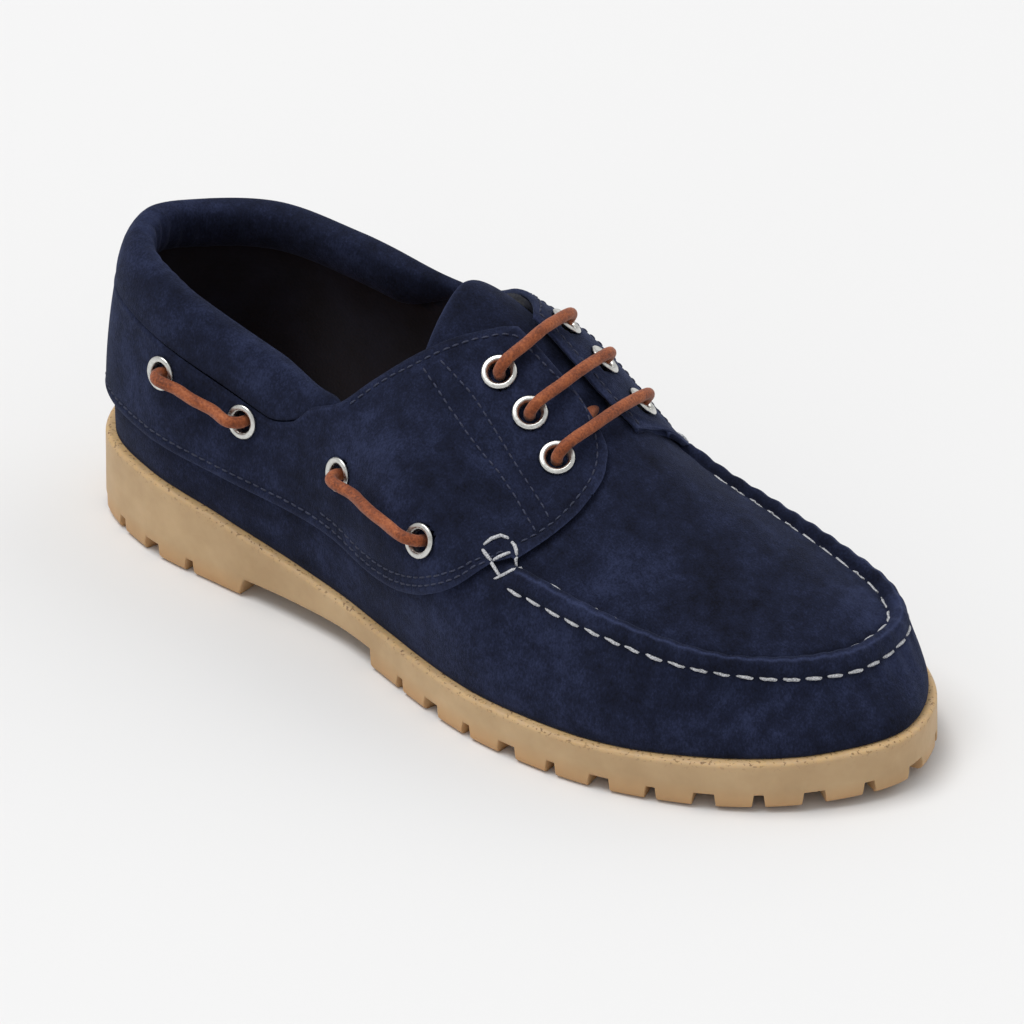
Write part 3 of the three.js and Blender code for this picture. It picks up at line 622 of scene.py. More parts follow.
def thread(name, dark, light, gloss=0.5):
    """Waxed thread: two plies, shown by fine slanting light and dark lines."""
    paint = Paint(name, roughness=gloss)
    ply = paint.noise(2600, 2.0, 0.5)
    paint.colour(paint.steps(ply, (0.35, dark), (0.62, light)))
    paint.bumps((ply, 0.5, 0.12))
    return paint.material


WHITE_THREAD = thread("white_waxed_thread", linear(128, 130, 136), linear(204, 205, 208))
NAVY_THREAD = thread("blue_thread", linear(22, 26, 44), linear(46, 53, 80), 0.7)


def lace_leather():
    """Round rawhide: orange brown, with fibres along the cord and a dry, grainy skin."""
    paint = Paint("rawhide_lace", roughness=0.62, Sheen_Weight=0.15, Specular_IOR_Level=0.3)
    grain = paint.noise(1300, 4.0, 0.7)
    drift = paint.noise(130, 3.0)
    tone = paint.math("ADD", paint.math("MULTIPLY", grain, 0.6), paint.math("MULTIPLY", drift, 0.4))
    colour = paint.steps(tone, (0.36, linear(88, 40, 18)), (0.5, linear(138, 70, 35)),
                         (0.66, linear(176, 102, 58)))
    paint.colour(colour)
    paint.bumps((grain, 0.6, 0.25), (drift, 0.3, 0.3))
    return paint.material


LACE = lace_leather()


def eyelet_metal():
    """Nickel-plated brass: pale, slightly brushed, with dull handling marks."""
    paint = Paint("nickel_eyelet", roughness=0.3, Metallic=1.0)
    marks = paint.noise(700, 3.0)
    paint.colour(paint.steps(marks, (0.3, linear(196, 196, 192)), (0.7, linear(226, 226, 222))))
    paint.feed(paint.shader.inputs["Roughness"], paint.span(marks, 0.3, 0.7, 0.24, 0.42))
    paint.bumps((marks, 0.15, 0.05))
    return paint.material


METAL = eyelet_metal()
print("materials:", len(bpy.data.materials))

# %% [markdown]
# ## The upper
# The vamp is one hide pulled up round the toe, and a flat plug closes the top. Where they meet the maker
# gathers the vamp into a standing ridge and sews through it by hand, so the ridge puckers at each stitch.
# It could be two sheets, but as one grid over the last the gathers run on smoothly. The ridge is a bump
# in the band of the seam, and its height and the folds below it follow a wave with one crest to a stitch.

# %% Upper
STITCH_PITCH = 7.0


def seam_shape(inset):
    """Height of the ridge across the seam's band: f = inset / width, and the two sheets stand up as
    min(sin(left), sin(right))^0.8, pulled down into a groove where the thread runs on each side."""
    f = inset / RIDGE_WIDTH
    flank = np.clip(np.minimum(f, 1 - f) / 0.42, 0, 1)
    groove = bell(f - 1.03, 0.12) * 0.16 + bell(f + 0.02, 0.10) * 0.14
    return np.sin(flank * np.pi / 2) ** 0.8 - groove


def both_sides(half):
    """Columns round the whole foot from those of the outer half, so that a column and its pair
    across the shoe end at one and the same point of the crest."""
    return np.concatenate([half, ROWS - half[-2:0:-1]])


def upper_columns():
    """Closer columns round the toe, where the gathers are, than at the heel."""
    half = np.concatenate([rows_by_length(0, 8.6, 2.4)[:-1], rows_by_length(8.6, ROWS / 2, 0.95)])
    return both_sides(half)


def seam_length(row):
    """Running length of the top edge, which paces the hand stitches."""
    return running(row[:, 2:4])

# %% [markdown]
# ## Creases and gathers of the upper
# Leather keeps the marks of lasting and wearing: shallow hollows where it was pulled, low swells between
# them. One noise over the whole shoe would look like crumpled paper, so each is a bell placed one by one.
# The gathers below the ridge are a wave with one crest to a stitch, dying away down the toe.

# %% Folds and the upper's grid
# soft hollows and swells, listed one by one: centre x, y, z, radius and depth, in millimetres
UPPER_FOLDS = (
    (214, -58, 34, 17, -0.8), (238, -52, 30, 15, 0.7), (262, -42, 30, 15, -0.6),
    (286, -22, 29, 14, 0.5), (232, 2, 63, 20, -0.7), (212, -14, 66, 16, 0.6),
    (208, 20, 67, 15, -0.5), (252, 18, 54, 18, 0.4), (200, 52, 34, 18, -0.8),
    (12, -22, 38, 14, -0.5), (18, 24, 40, 15, -0.6),
)


def press(points, normals, folds):
    """Adds each fold: depth times a bell curve of the distance from its centre."""
    for x, y, z, radius, depth in folds:
        d2 = ((points - (x, y, z)) ** 2).sum(-1)
        points = points + normals * (depth * np.exp(-d2 / radius ** 2))[..., None]
    return points


def upper_grid():
    grid, inset, row = last_grid(upper_columns(), walls=24, seam=18, crowns=26)
    normals = last_normals(grid)
    front = smooth((row[:, 2:3] - KEEPER_X) / 6 + 0.5)
    beat = np.cos(2 * np.pi * seam_length(row) / STITCH_PITCH)[:, None]
    ridge = RIDGE_HEIGHT * seam_shape(inset) * (1 + 0.07 * beat) * (inset < 1.3 * RIDGE_WIDTH)
    gather = 0.30 * beat * np.exp(-np.abs(inset + 1.5) / 5.5) * (inset < 1)
    pull = 0.14 * beat * np.exp(-np.abs(inset - RIDGE_WIDTH - 1) / 4) * (inset > RIDGE_WIDTH)
    lift = front * (ridge + gather + pull)
    out = np.where((inset > 0)[..., None], normals * 0.35 + (0, 0, 0.65), normals)
    grid = grid + out * lift[..., None]
    return press(grid, normals, UPPER_FOLDS), inset, row


print("folds pressed into the upper:", len(UPPER_FOLDS))

# %% [markdown]
# ## Where the leather ends above
# Seen from the side the topline dips behind the ankle and climbs to the throat, and the two quarters
# leave a slot over the tongue. Several pieces end at these lines, so they are written once, as heights
# over x and as a distance inside the slot, and each piece cuts itself by them.

# %% Topline and throat
COLLAR_DROP, COLLAR_END_X = 14.0, 110.0


def collar_top(side, x):
    """Height of the collar's top edge at x, on the outer side (-1) or the inner (+1)."""
    x = np.maximum(x, HEEL_ROWS[1, 2])
    xs = np.concatenate([HEEL_ROWS[1:2, 2], SECTIONS[:4, 0]])
    outer = cubic(xs, np.concatenate([HEEL_ROWS[1:2, 4], SECTIONS[:4, 3]]), x)
    inner = cubic(xs, np.concatenate([HEEL_ROWS[1:2, 4], SECTIONS[:4, 6]]), x)
    return np.where(side < 0, outer, inner)


def collar_drop(x):
    return COLLAR_DROP * (1 - 0.6 * smooth((x - 86) / 22))


def opening_z(side, x):
    """Top edge of the quarters seen from the side: the collar's seam, then the rise to the throat."""
    at = np.clip(x, 106, 153)
    front = np.where(side < 0, cubic(TOPLINE[:, 0], TOPLINE[:, 1], at),
                     cubic(TOPLINE[:, 0], TOPLINE[:, 2], at)) + 4 * np.clip(x - 153, 0, 40)
    back = collar_top(side, np.minimum(x, 112)) - collar_drop(np.minimum(x, 112))
    share = smooth((x - 96) / 11)
    return back * (1 - share) + front * share


def throat_gap(x, y):
    """Distance inside the slot between the quarters, over the tongue."""
    low = cubic([120, 168, 178, 184, 185.5], [-8, -6, -3, 2, 6.5], np.clip(x, 120, 185.5))
    high = cubic([120, 166, 177, 183, 185.5], [22, 19, 16, 12, 7.5], np.clip(x, 120, 185.5))
    return np.where((x > 120) & (x < 185.5), np.minimum(y - low, high - y), -9)

# %% [markdown]
# ## Where the eyelets stand
# The eyelets are punched last, in straight rows measured on the flat pattern, so on the shoe they follow
# the leather. Their rows are given from the top and from the side, and each centre is found by dropping a
# line onto the leather, which also tells which way the ring faces.

# %% Where the eyelets stand
def search_tree(*grids):
    """One search tree for some (grid, wrapped or not), in millimetres, to lay thread and lace on."""
    points, faces = join_parts([(grid, grid_faces(*grid.shape[:2], wrap)) for grid, wrap in grids])
    return BVHTree.FromPolygons(points.tolist(), faces.tolist())


def offset_last(amount):
    """The bare last, moved outwards by a few millimetres."""
    grid, _, _ = last_grid(both_sides(rows_by_length(0, ROWS / 2, 1.5)), 40, 6, 60)
    return grid + last_normals(grid) * amount


LEATHER_TOP = search_tree((offset_last(GAP + FLAP), True))

# x and the two y of the throat's rows, then x and the two z of the side lace's
THROAT_ROWS = ((157.5, -10.0, 21.4), (170.8, -11.8, 22.8), (184.0, -15.2, 25.0))
SIDE_ROWS = ((160.0, 57.0, 58.0), (119.0, 59.5, 62.5), (78.0, 61.0, 66.0), (44.0, 65.0, 71.5))


def hit(origin, direction):
    """Where a line from origin meets the leather, and the normal there."""
    point, normal, _, _ = LEATHER_TOP.ray_cast(Vector(origin), Vector(direction))
    return np.array(point), np.array(normal)


def two(side, outer, inner):
    """The value for the outer side (-1) or the inner side (+1)."""
    return outer if side < 0 else inner


THROAT = {s: [hit((x, two(s, a, b), 200), (0, 0, -1)) for x, a, b in THROAT_ROWS] for s in (-1, 1)}
SIDES = {s: [hit((x, s * 120, two(s, a, b)), (0, -s, 0)) for x, a, b in SIDE_ROWS] for s in (-1, 1)}
EYELETS = [spot for group in (THROAT, SIDES) for s in (-1, 1) for spot in group[s]]


def near_eyelet(points, radius):
    """True where a point lies closer than radius to the axis of an eyelet."""
    close = np.zeros(points.shape[:-1], bool)
    for centre, normal in EYELETS:
        d = points - centre
        along = d @ normal
        close |= ((d ** 2).sum(-1) - along ** 2 < radius ** 2) & (np.abs(along) < 8)
    return close


def quads_clear(cut, wrap=False):
    """True for the quads of a grid with no cut corner."""
    hole = cut[:, :-1] | cut[:, 1:]
    return ~(hole | np.roll(hole, -1, axis=0)) if wrap else ~(hole[:-1] | hole[1:])


print("eyelets:", len(EYELETS))

# %% [markdown]
# ## The upper's sheet
# The upper is cut open at the ankle and along the throat, and the other pieces lie over those edges. The
# cut could follow exact curves, but it is hidden everywhere, so whole quads are dropped past the collar's
# seam and between the flaps. Frayed nap along the ridge and a shadow in its grooves are kept as values
# per point.

# %% The upper's sheet
UPPER, UPPER_INSET, UPPER_ROW = upper_grid()
UPPER_TREE = search_tree((UPPER, True))


def build_upper():
    x, y, z = np.moveaxis(UPPER, -1, 0)
    side = np.where(y < HEEL_ROWS[1, 3], -1, 1)
    tucked = 3.2 * (1 - smooth((x - 98) / 8)) - 0.5
    cut = (z > opening_z(side, x) + tucked) | (throat_gap(x, y) > 0)
    n, m = UPPER.shape[:2]
    faces = grid_faces(n, m, wrap=True, keep=quads_clear(cut, wrap=True))
    f = UPPER_INSET / RIDGE_WIDTH
    front = smooth((UPPER_ROW[:, 2:3] - KEEPER_X) / 6)
    fray = 0.8 * front * bell(f - 0.5, 0.07)
    # painted shade: darker in the ridge's two grooves and along the foot of the upper, where it meets the
    # sole
    grooves = bell(f - 1.05, 0.16) + bell(f + 0.03, 0.14)
    shade = np.clip(0.5 * front * grooves + 0.5 * np.exp(-(z - sole_top(x)) / 1.2), 0, 0.85)
    return add_mesh("suede_upper", UPPER, faces, [NAVY, LINING, NAVY_EDGE],
                    {"fray": fray, "shade": shade}, merge=0.02)


upper = build_upper()
thicken(upper, WALL, inside=1, rim=1)
settle(upper, "navy_suede", "upper")

# %% [markdown]
# ## The quarters
# A quarter is one flat hide cut with a knife: its lower edge swings down into a round lobe, and its front
# runs up over the instep as the flap that carries the eyelets. It could be a band of constant height, but
# the outline is what makes the shoe, so it is given as curves in the side and top views. Each column of
# the last is cut where it enters and leaves the outline, so the grid's own edges follow it exactly and
# the cut edge shows its thickness and its paler raw nap.

# %% Outlines of the quarters
QUARTER_EDGE = np.array([(-10, 43), (40, 41.5), (90, 38.5), (117, 37), (132, 34.8), (146, 35.2),
                         (158, 38.5), (168, 43.5), (177, 49.5), (185, 57)])
OUTER_FRONT = np.array([(-80, 160), (-56, 180), (-50, 186), (-42, 191), (-30, 196.5), (-17, 198.5),
                        (-6.5, 196), (0, 190), (3.6, 181)])
INNER_FRONT = np.array([(9.8, 177), (10.5, 185), (16, 190.5), (26, 193), (37, 193), (44, 190.5),
                        (50, 184), (54, 178), (80, 160)])


def soft_min(a, b, k=4.0):
    """The smaller of two distances, with the corner between them rounded over k millimetres."""
    h = np.clip(0.5 + 0.5 * (b - a) / k, 0, 1)
    return b * (1 - h) + a * h - k * h * (1 - h)


def inside_quarter(side, p):
    """Distance inside the outline: above the lower edge, behind the front, under the topline and
    beside the throat."""
    x, y, z = p[..., 0], p[..., 1], p[..., 2]
    front = OUTER_FRONT if side < 0 else INNER_FRONT
    ahead = cubic(front[:, 0], front[:, 1], np.clip(y, front[0, 0], front[-1, 0])) - x
    low = z - cubic(QUARTER_EDGE[:, 0], QUARTER_EDGE[:, 1], np.clip(x, -10, 185))
    low = low + 3 * np.clip(x - 189, 0, 20)
    throat = np.where(x > 118, 3.4 - y if side < 0 else y - 10.6, 30)
    top = np.where(x < 160, opening_z(side, np.minimum(x, 160)) - z, 30)
    return soft_min(soft_min(low, ahead, 7.0), soft_min(throat, top), 7.0)


def quarter_columns(side):
    """Columns 0.9 mm apart, then closing up towards the tip of the flap, where the outline turns."""
    def profile(u):
        grid, _, _ = last_grid(u, 90, 8, 160)
        sheet = grid + last_normals(grid[::-side], wrap=False)[::-side] * (GAP + FLAP)
        return sheet, inside_quarter(side, sheet)

    u = rows_by_length(0, 10.6, 0.25)
    u = u if side < 0 else ROWS - u
    reach = profile(u)[1].max(1)
    last_in = np.flatnonzero(reach > 0.02).max()
    body = u[:last_in - 32:4]
    tip = u[last_in - 32] + (u[last_in] - u[last_in - 32]) * np.sin(np.linspace(0, np.pi / 2, 26))
    return profile(np.concatenate([body, tip]))


def cut_columns(sheet, f, fractions):
    """Each column between the points where it enters and leaves the outline, resampled by length."""
    n, m = f.shape
    row = np.arange(n)
    first = (f > 0).argmax(1)
    last = m - 1 - (f[:, ::-1] > 0).argmax(1)
    before, after = np.maximum(first - 1, 0), np.minimum(last + 1, m - 1)

    def root(a, b):
        fa, fb = f[row, a], f[row, b]
        return np.clip(fa / np.where(fa == fb, 1, fa - fb), 0, 1) * (b - a) + a

    start, end = root(before, first), root(last, after)
    length = running(sheet)
    grid = np.empty((n, len(fractions), 3))
    for i in range(n):
        s0, s1 = np.interp([start[i], end[i]], np.arange(m), length[i])
        at = s0 + (s1 - s0) * fractions
        for k in range(3):
            grid[i, :, k] = np.interp(at, length[i], sheet[i, :, k])
    return grid


print("the quarter's foot edge: %.0f to %.0f mm up" % (QUARTER_EDGE[:, 1].min(), QUARTER_EDGE[:, 1].max()))

# %% [markdown]
# ## Rows of thread
# The quarters are sewn down with blue thread in rows a few millimetres inside the cut edge, and two rows
# climb beside the eyelets. A seam drawn as a painted line has no depth, so the leather first sinks under
# each row, and then every stitch is a short cord that dives into it at both ends. White waxed thread,
# twice as thick, sews the toe and the little box at each end of the ridge.

# %% Stitch rows
ROW_A = ((135.7, -19.7, 93.9), (142.6, -22, 90.9), (153.3, -25.2, 85.5), (161.9, -27.2, 80.8),
         (172.1, -28.6, 75.3), (184.7, -31.8, 67.7), (191.7, -34.4, 63.8))
ROW_B = ((139.7, -16.3, 96.6), (146.7, -17.4, 93.9), (154, -18.6, 90.6), (163.7, -21, 84.7),
         (174.3, -23.8, 77.6), (189.3, -28, 68.6), (194.2, -30, 65.7))
FLAP_ROW = ((116.8, -31.8, 79.7), (124, -26, 87.3), (132.5, -19.9, 94.1), (140.3, -12.9, 99.5),
            (147.9, -5.6, 102.5), (154.7, 0.5, 102.6), (161.1, 0.9, 99.3), (170.6, 1.6, 93.5),
            (178.4, 2.3, 88.4), (185.8, -0.6, 83.4), (191.3, -5, 78.8), (194.2, -10, 75.5),
            (195.3, -16.5, 72), (194.8, -24.8, 68.6), (192.2, -33, 64.5), (188, -39.5, 61))


def spread(path, step):
    """A smooth curve through the points, in even steps."""
    path = np.asarray(path, float)
    s = running(path)
    fine = np.linspace(0, s[-1], max(8, int(s[-1] / 0.25)))
    curve = np.stack([cubic(s, path[:, k], fine) for k in range(path.shape[1])], -1)
    run = running(curve)
    even = np.linspace(0, run[-1], max(2, int(run[-1] / step) + 1))
    return np.stack([np.interp(even, run, curve[:, k]) for k in range(curve.shape[1])], -1)


def lay(points, tree):
    """Nearest point and normal of the leather for each point."""
    found = [tree.find_nearest(Vector(p)) for p in np.atleast_2d(points)]
    return np.array([f[0] for f in found]), np.array([f[1] for f in found])


def mirrored_rows():
    """The inner flap's own rows: the outer ones carried over the crest and fitted to its outline."""
    rows = []
    for path in (ROW_A, ROW_B):
        p = np.array(path)
        p[:, 1] = 2 * crest(1, p[:, 0]) - p[:, 1] - 2.0
        p[:, 0] -= np.linspace(0, 4, len(p))
        p[:, 2] += 4.0
        rows.append(p)
    return rows


def edge_row(grid, depth, x0, x1, top=False):
    """A row `depth` mm inside the cut edge, at the foot of the quarter or along its top."""
    column = grid[:, ::-1] if top else grid
    length = running(column)
    path = np.array([[np.interp(depth, length[i], column[i, :, k]) for k in range(3)]
                     for i in range(len(column)) if length[i, -1] > 2 * depth])
    return path[(path[:, 0] > x0) & (path[:, 0] < x1)]


def sink(points, normals, paths, width=0.9, depth=0.35):
    """Presses the leather down along the thread rows."""
    for path in paths:
        line = spread(path, 1.2)
        d2 = np.full(points.shape[:-1], 1e9)
        for p in line:
            d2 = np.minimum(d2, ((points - p) ** 2).sum(-1))
        points = points - normals * (depth * np.exp(-d2 / width ** 2))[..., None]
    return points

# %% [markdown]
# ## Making a quarter
# The flat hide is cut, sewn down and creased, in that order, and the mesh is made the same way: columns
# of the last cut by the outline, pressed in along the thread, with soft folds across the ankle, over the
# lobe and beside the lace. The cut edge is rolled down a little and swells just behind, as thick suede
# does.

# %% Quarters
# soft folds of the quarters: across the ankle, over the lobe and beside the lace
QUARTER_FOLDS = {
    -1: ((130, -40, 66, 12, -0.6), (146, -46, 60, 13, 0.7), (100, -40, 58, 16, -0.7),
         (62, -38, 55, 18, 0.6), (28, -34, 60, 14, -0.6), (170, -46, 58, 12, -0.5)),
    1: ((158, 32, 92, 13, 1.4), (172, 33, 84, 13, 1.5), (185, 34, 73, 12, 1.1),
        (128, 40, 70, 13, -0.7), (148, 42, 62, 13, 0.6), (100, 37, 62, 16, -0.7),
        (60, 36, 58, 18, 0.6), (26, 32, 62, 14, -0.6), (172, 40, 62, 12, -0.5)),
}
EDGE_FRACTIONS = np.concatenate([[0, 0.004, 0.010, 0.018], np.linspace(0.03, 0.97, 62),
                                 [0.982, 0.990, 0.996, 1]])
QUARTER_ROWS = {}


def build_quarter(side, name, node):
    """One quarter: its sheet, its thread rows pressed in, a low swell behind the cut edge, and holes."""
    sheet, f = quarter_columns(side)
    grid = cut_columns(sheet, f, EDGE_FRACTIONS)
    if side > 0:
        grid = grid[::-1]
    normals = grid_normals(grid)
    d = np.maximum(inside_quarter(side, grid), 0)
    rows = [edge_row(grid, 3.2, 6, 186)]
    if side < 0:
        rows += [np.array(ROW_A), np.array(ROW_B), np.array(FLAP_ROW)]
    else:
        rows += mirrored_rows() + [edge_row(grid, 3.2, 112, 192, top=True)]
    rows += [edge_row(grid, 6.0, 112, 184)]
    QUARTER_ROWS[side] = rows
    points = press(grid, normals, QUARTER_FOLDS[side])
    points = sink(points, normals, rows)
    points = points - normals * (0.28 * np.exp(-d / 0.6))[..., None]
    points = points + normals * (0.25 * bell(d - 1.6, 1.0))[..., None]
    x = grid[..., 0]
    fray = 0.6 * np.exp(-d / 0.7) * (grid[..., 2] < opening_z(side, x) - 1.0)
    faces = grid_faces(*grid.shape[:2], keep=quads_clear(near_eyelet(grid, 4.3)))
    # the inner quarter takes the lighter copy of the suede: painted light on the far flap
    piece = add_mesh(name, points, faces, [two(side, NAVY, NAVY_PAINTED_LIT), LINING, NAVY_EDGE],
                     {"fray": fray, "shade": np.zeros_like(d)}, merge=0.02)
    thicken(piece, FLAP, inside=2, rim=2)
    settle(piece, "navy_suede", node)
    return points


QUARTER = {-1: build_quarter(-1, "suede_quarter_outer", "quarter_outer"),
           1: build_quarter(1, "suede_quarter_inner", "quarter_inner")}
QUARTER_TREE = {s: search_tree((QUARTER[s], False)) for s in (-1, 1)}

# %% [markdown]
# ## Sewing
# A stitch goes down through a hole, under the leather and up again, so what shows is a short cord with
# both ends sunk in. Dashes drawn on the surface would catch no light. Each stitch is a tube of six rings
# laid on the leather it is sewn to, a little long or short, thick or thin, and set slightly askew as by
# hand.

# %% Cords and tubes
def tube(path, normals, radius, sides=6, flat=1.0):
    """Points of a tube along a path: radius may change along it, and `flat` squashes it on its normal."""
    path, radius = np.asarray(path, float), np.broadcast_to(radius, len(path))
    along = unit(np.gradient(path, axis=0))
    across = unit(np.cross(along, normals))
    up = np.cross(across, along)
    a = np.linspace(0, 2 * np.pi, sides, endpoint=False)[None, :, None]
    ring = np.cos(a) * across[:, None] + flat * np.sin(a) * up[:, None]
    return path[:, None] + ring * radius[:, None, None]


def sew(name, rows, pitch, length, radius, material, dip=0.45, lift=0.5, skew=0.0):
    """Every stitch of some rows as one mesh. A row is (path, tree). A stitch is a cord of six rings
    whose ends are dip mm under the leather and whose middle stands lift x radius above it. With
    length 0 a whole path is one stitch."""
    stitches = []
    rings = np.array([0, 0.12, 0.35, 0.65, 0.88, 1.0])
    height = np.array([-dip, radius * lift * 0.4, radius * lift, radius * lift, radius * lift * 0.4, -dip])
    swell = np.array([0.55, 0.85, 1.05, 1.05, 0.85, 0.55])
    for path, tree in rows:
        line = spread(path, 0.25)
        run = np.arange(len(line)) * 0.25
        whole = length or run[-1]
        for s in np.arange(0, run[-1] - whole + 0.01, pitch):
            long = whole * (1 + 0.04 * rng.standard_normal())
            at = s + rings * long
            p = np.stack([np.interp(at, run, line[:, k]) for k in range(3)], -1)
            p, n = lay(p, tree)
            aside = unit(np.cross(unit(np.gradient(p, axis=0)), n))
            askew = skew * (rings - 0.5) + 0.04 * rng.standard_normal()
            p = p + n * height[:, None] + aside * askew[:, None]
            size = radius * swell * (1 + 0.05 * rng.standard_normal())
            stitches.append((tube(p, n, size, 7, 0.85), ring_faces(6, 7)))
    print("%d stitches" % len(stitches), end=" in ")
    return settle(add_mesh(name, *join_parts(stitches), [material]), None)

# %% [markdown]
# ## The visible thread
# White waxed thread runs once on each flank of the ridge and ends in a small sewn box at both sides of
# the instep, where the gathers are locked. Those few stitches turn corners, so their points are set one
# by one. The blue rows follow the paths that were pressed into the quarters.

# %% Toe, box and quarter stitches
def seam_row(inset, x0):
    """The curve on the upper `inset` mm in from the top edge, from keeper to keeper round the toe."""
    j = np.abs(UPPER_INSET[len(UPPER_INSET) // 2] - inset).argmin()
    front = UPPER_ROW[:, 2] > x0
    return UPPER[front, j]


KEEPER = (
    ((179.6, -45.3, 60.4), (180.9, -42.4, 61.9), (183.3, -40, 62.6), (185.4, -39.8, 62.2)),
    ((186.2, -39.9, 61.9), (188.9, -40.8, 60.6), (190.2, -42.2, 59.3)),
    ((190.4, -42.3, 59.1), (190.9, -43.1, 57.6), (191.3, -43.8, 56.2)),
    ((179.9, -46.1, 59.7), (182.7, -46.7, 58.3), (184.2, -47, 57.7)),
    ((184.4, -46.9, 57.8), (186.2, -44.5, 59), (187.9, -42.4, 59.8)),
    ((184.8, -47.3, 57.2), (186.6, -47.9, 56.0), (188.6, -48.6, 54.4)),
    ((186.4, -49.2, 53.2), (189.5, -47.6, 55.2), (192.5, -45.6, 56.8), (193.6, -42.6, 57)),
)


def keeper_rows():
    """The sewn box at each end of the ridge: the outer one, and the same turned over the crest."""
    rows = []
    for side in (-1, 1):
        for path in KEEPER:
            p = np.array(path)
            if side > 0:
                p[:, 1] = 1.5 - p[:, 1]
                p[:, 2] += 0.5
            rows.append((p, KEEPER_TREE))
    return rows


KEEPER_TREE = search_tree((UPPER, True), (QUARTER[-1], False), (QUARTER[1], False))
toe_rows = [(seam_row(-0.2, 191.5), UPPER_TREE), (seam_row(RIDGE_WIDTH + 0.3, 201), UPPER_TREE)]
sew("white_toe_stitches", toe_rows, STITCH_PITCH, 5.9, 0.58, WHITE_THREAD, skew=0.5)
sew("white_keeper_stitches", keeper_rows(), 99.0, 0, 0.55, WHITE_THREAD)
blue = [(path, QUARTER_TREE[side]) for side in (-1, 1) for path in QUARTER_ROWS[side]]
sew("blue_stitches", blue, 3.1, 2.3, 0.30, NAVY_THREAD, dip=0.3, lift=0.7)

# %% [markdown]
# ## The padded collar
# Round the ankle the top edge ends in a roll: a strip of suede folded over foam, sewn to the quarter
# along its lower edge and to the lining inside. A plain tube would look like a hose, so the section is
# flat against the foot, full on top and nipped in at the seam, and it fades as it runs under the
# quarters. At the back the lining side is the shorter way round, so it puckers into fine upright
# wrinkles.

# %% Collar
COLLAR_RING = ((0, -6.5, 0), (0.3, -8.6, 0), (0.6, -9, 0), (0.85, -8.4, 0.3), (1, -6.9, 1.0),
               (1, -3.6, 2.4), (1, -0.6, 1.8), (0.8, 1.7, 0.7), (0.45, 2.5, 0), (0.15, 2.3, 0),
               (0, 1.7, 0), (0, -2.4, 0))


def collar_section(u):
    """Closed section of the roll at each column, as control points."""
    row, cx, cy = loop_at(u)
    ends = wall(row, cx, cy, np.array([[0.0, 1.0]]).repeat(len(u), 0))
    tall = ends[:, 1, 2] - ends[:, 0, 2]
    full = 1 - 0.55 * smooth((row[:, 2] - 82) / 26)
    seam = row[:, 4] - collar_drop(row[:, 2]) + GAP
    low = 1 - (ends[:, 1, 2] - seam) / tall
    out = unit(np.stack([row[:, 2] - cx, row[:, 3] - cy, 0 * cx], -1))
    rings = []
    for t, move, lift in COLLAR_RING:
        at = (low + (1 - low) * t)[:, None]
        p = wall(row, cx, cy, at)[:, 0] + out * (move * full)[:, None]
        p[:, 2] = np.maximum(seam, p[:, 2] + lift * full)
        rings.append(p)
    return np.stack(rings, 1), out


def build_collar():
    """The roll: rings of the section along the topline, shrunk to a point at both ends, then wrinkled."""
    far = np.interp(COLLAR_END_X + 2, SECTIONS[:, 0], np.arange(2, 13))
    half = rows_by_length(0, far, 1.1)
    u = np.concatenate([-half[:0:-1], half])
    ring, out = collar_section(u)
    k = ring.shape[1]
    fine = np.linspace(0, k, 40, endpoint=False)
    grid = np.stack([[cubic(np.arange(k), ring[i, :, c], fine, k) for c in range(3)]
                     for i in range(len(u))]).transpose(0, 2, 1)
    middle = grid.mean(1, keepdims=True)
    run = running(middle[:, 0])
    from_end = np.minimum(run, run[-1] - run)
    shrink = np.sqrt(np.clip(from_end / 6, 0, 1) * (2 - np.clip(from_end / 6, 0, 1)))
    away = unit(grid - middle)
    heel = run - run[-1] / 2
    inner = np.clip(-(away * out[:, None]).sum(-1), 0, 1)
    wrinkle = np.cos(2 * np.pi * heel / 6.1 + 1.1 * np.sin(heel / 7)) * bell(heel, 34)
    soft = 0.35 * np.sin(run / 11.0) + 0.25 * np.sin(run / 5.3 + 1.0)
    lift = 0.42 * wrinkle[:, None] * inner + 0.30 * soft[:, None] * (0.4 + 0.6 * inner)
    grid = middle + (grid - middle) * np.maximum(shrink, 0.01)[:, None, None] + away * lift[..., None]
    # painted shade: darker towards the lower seam of the roll
    seam_shade = 0.6 * np.exp(-((grid[..., 2] - grid[..., 2].min(1, keepdims=True)) / 1.6))
    piece = add_mesh("padded_collar", grid, ring_faces(*grid.shape[:2]), [NAVY],
                     {"fray": np.zeros_like(seam_shade), "shade": seam_shade})
    return settle(piece, "navy_suede", "collar")


build_collar()

# %% [markdown]
# ## The tongue
# The tongue is one piece of suede lying on the instep under both flaps. Its free end stands out behind
# them as a rounded tab. It is cut in plan and laid on the same last, a leather's thickness lower.

# %% Tongue
TONGUE_OUT = ((128, -21), (134, -25), (140, -27), (165, -24), (190, -20), (205, -12))
TONGUE_IN = ((128, 24), (135, 29), (142, 32), (165, 33), (190, 31), (205, 22))


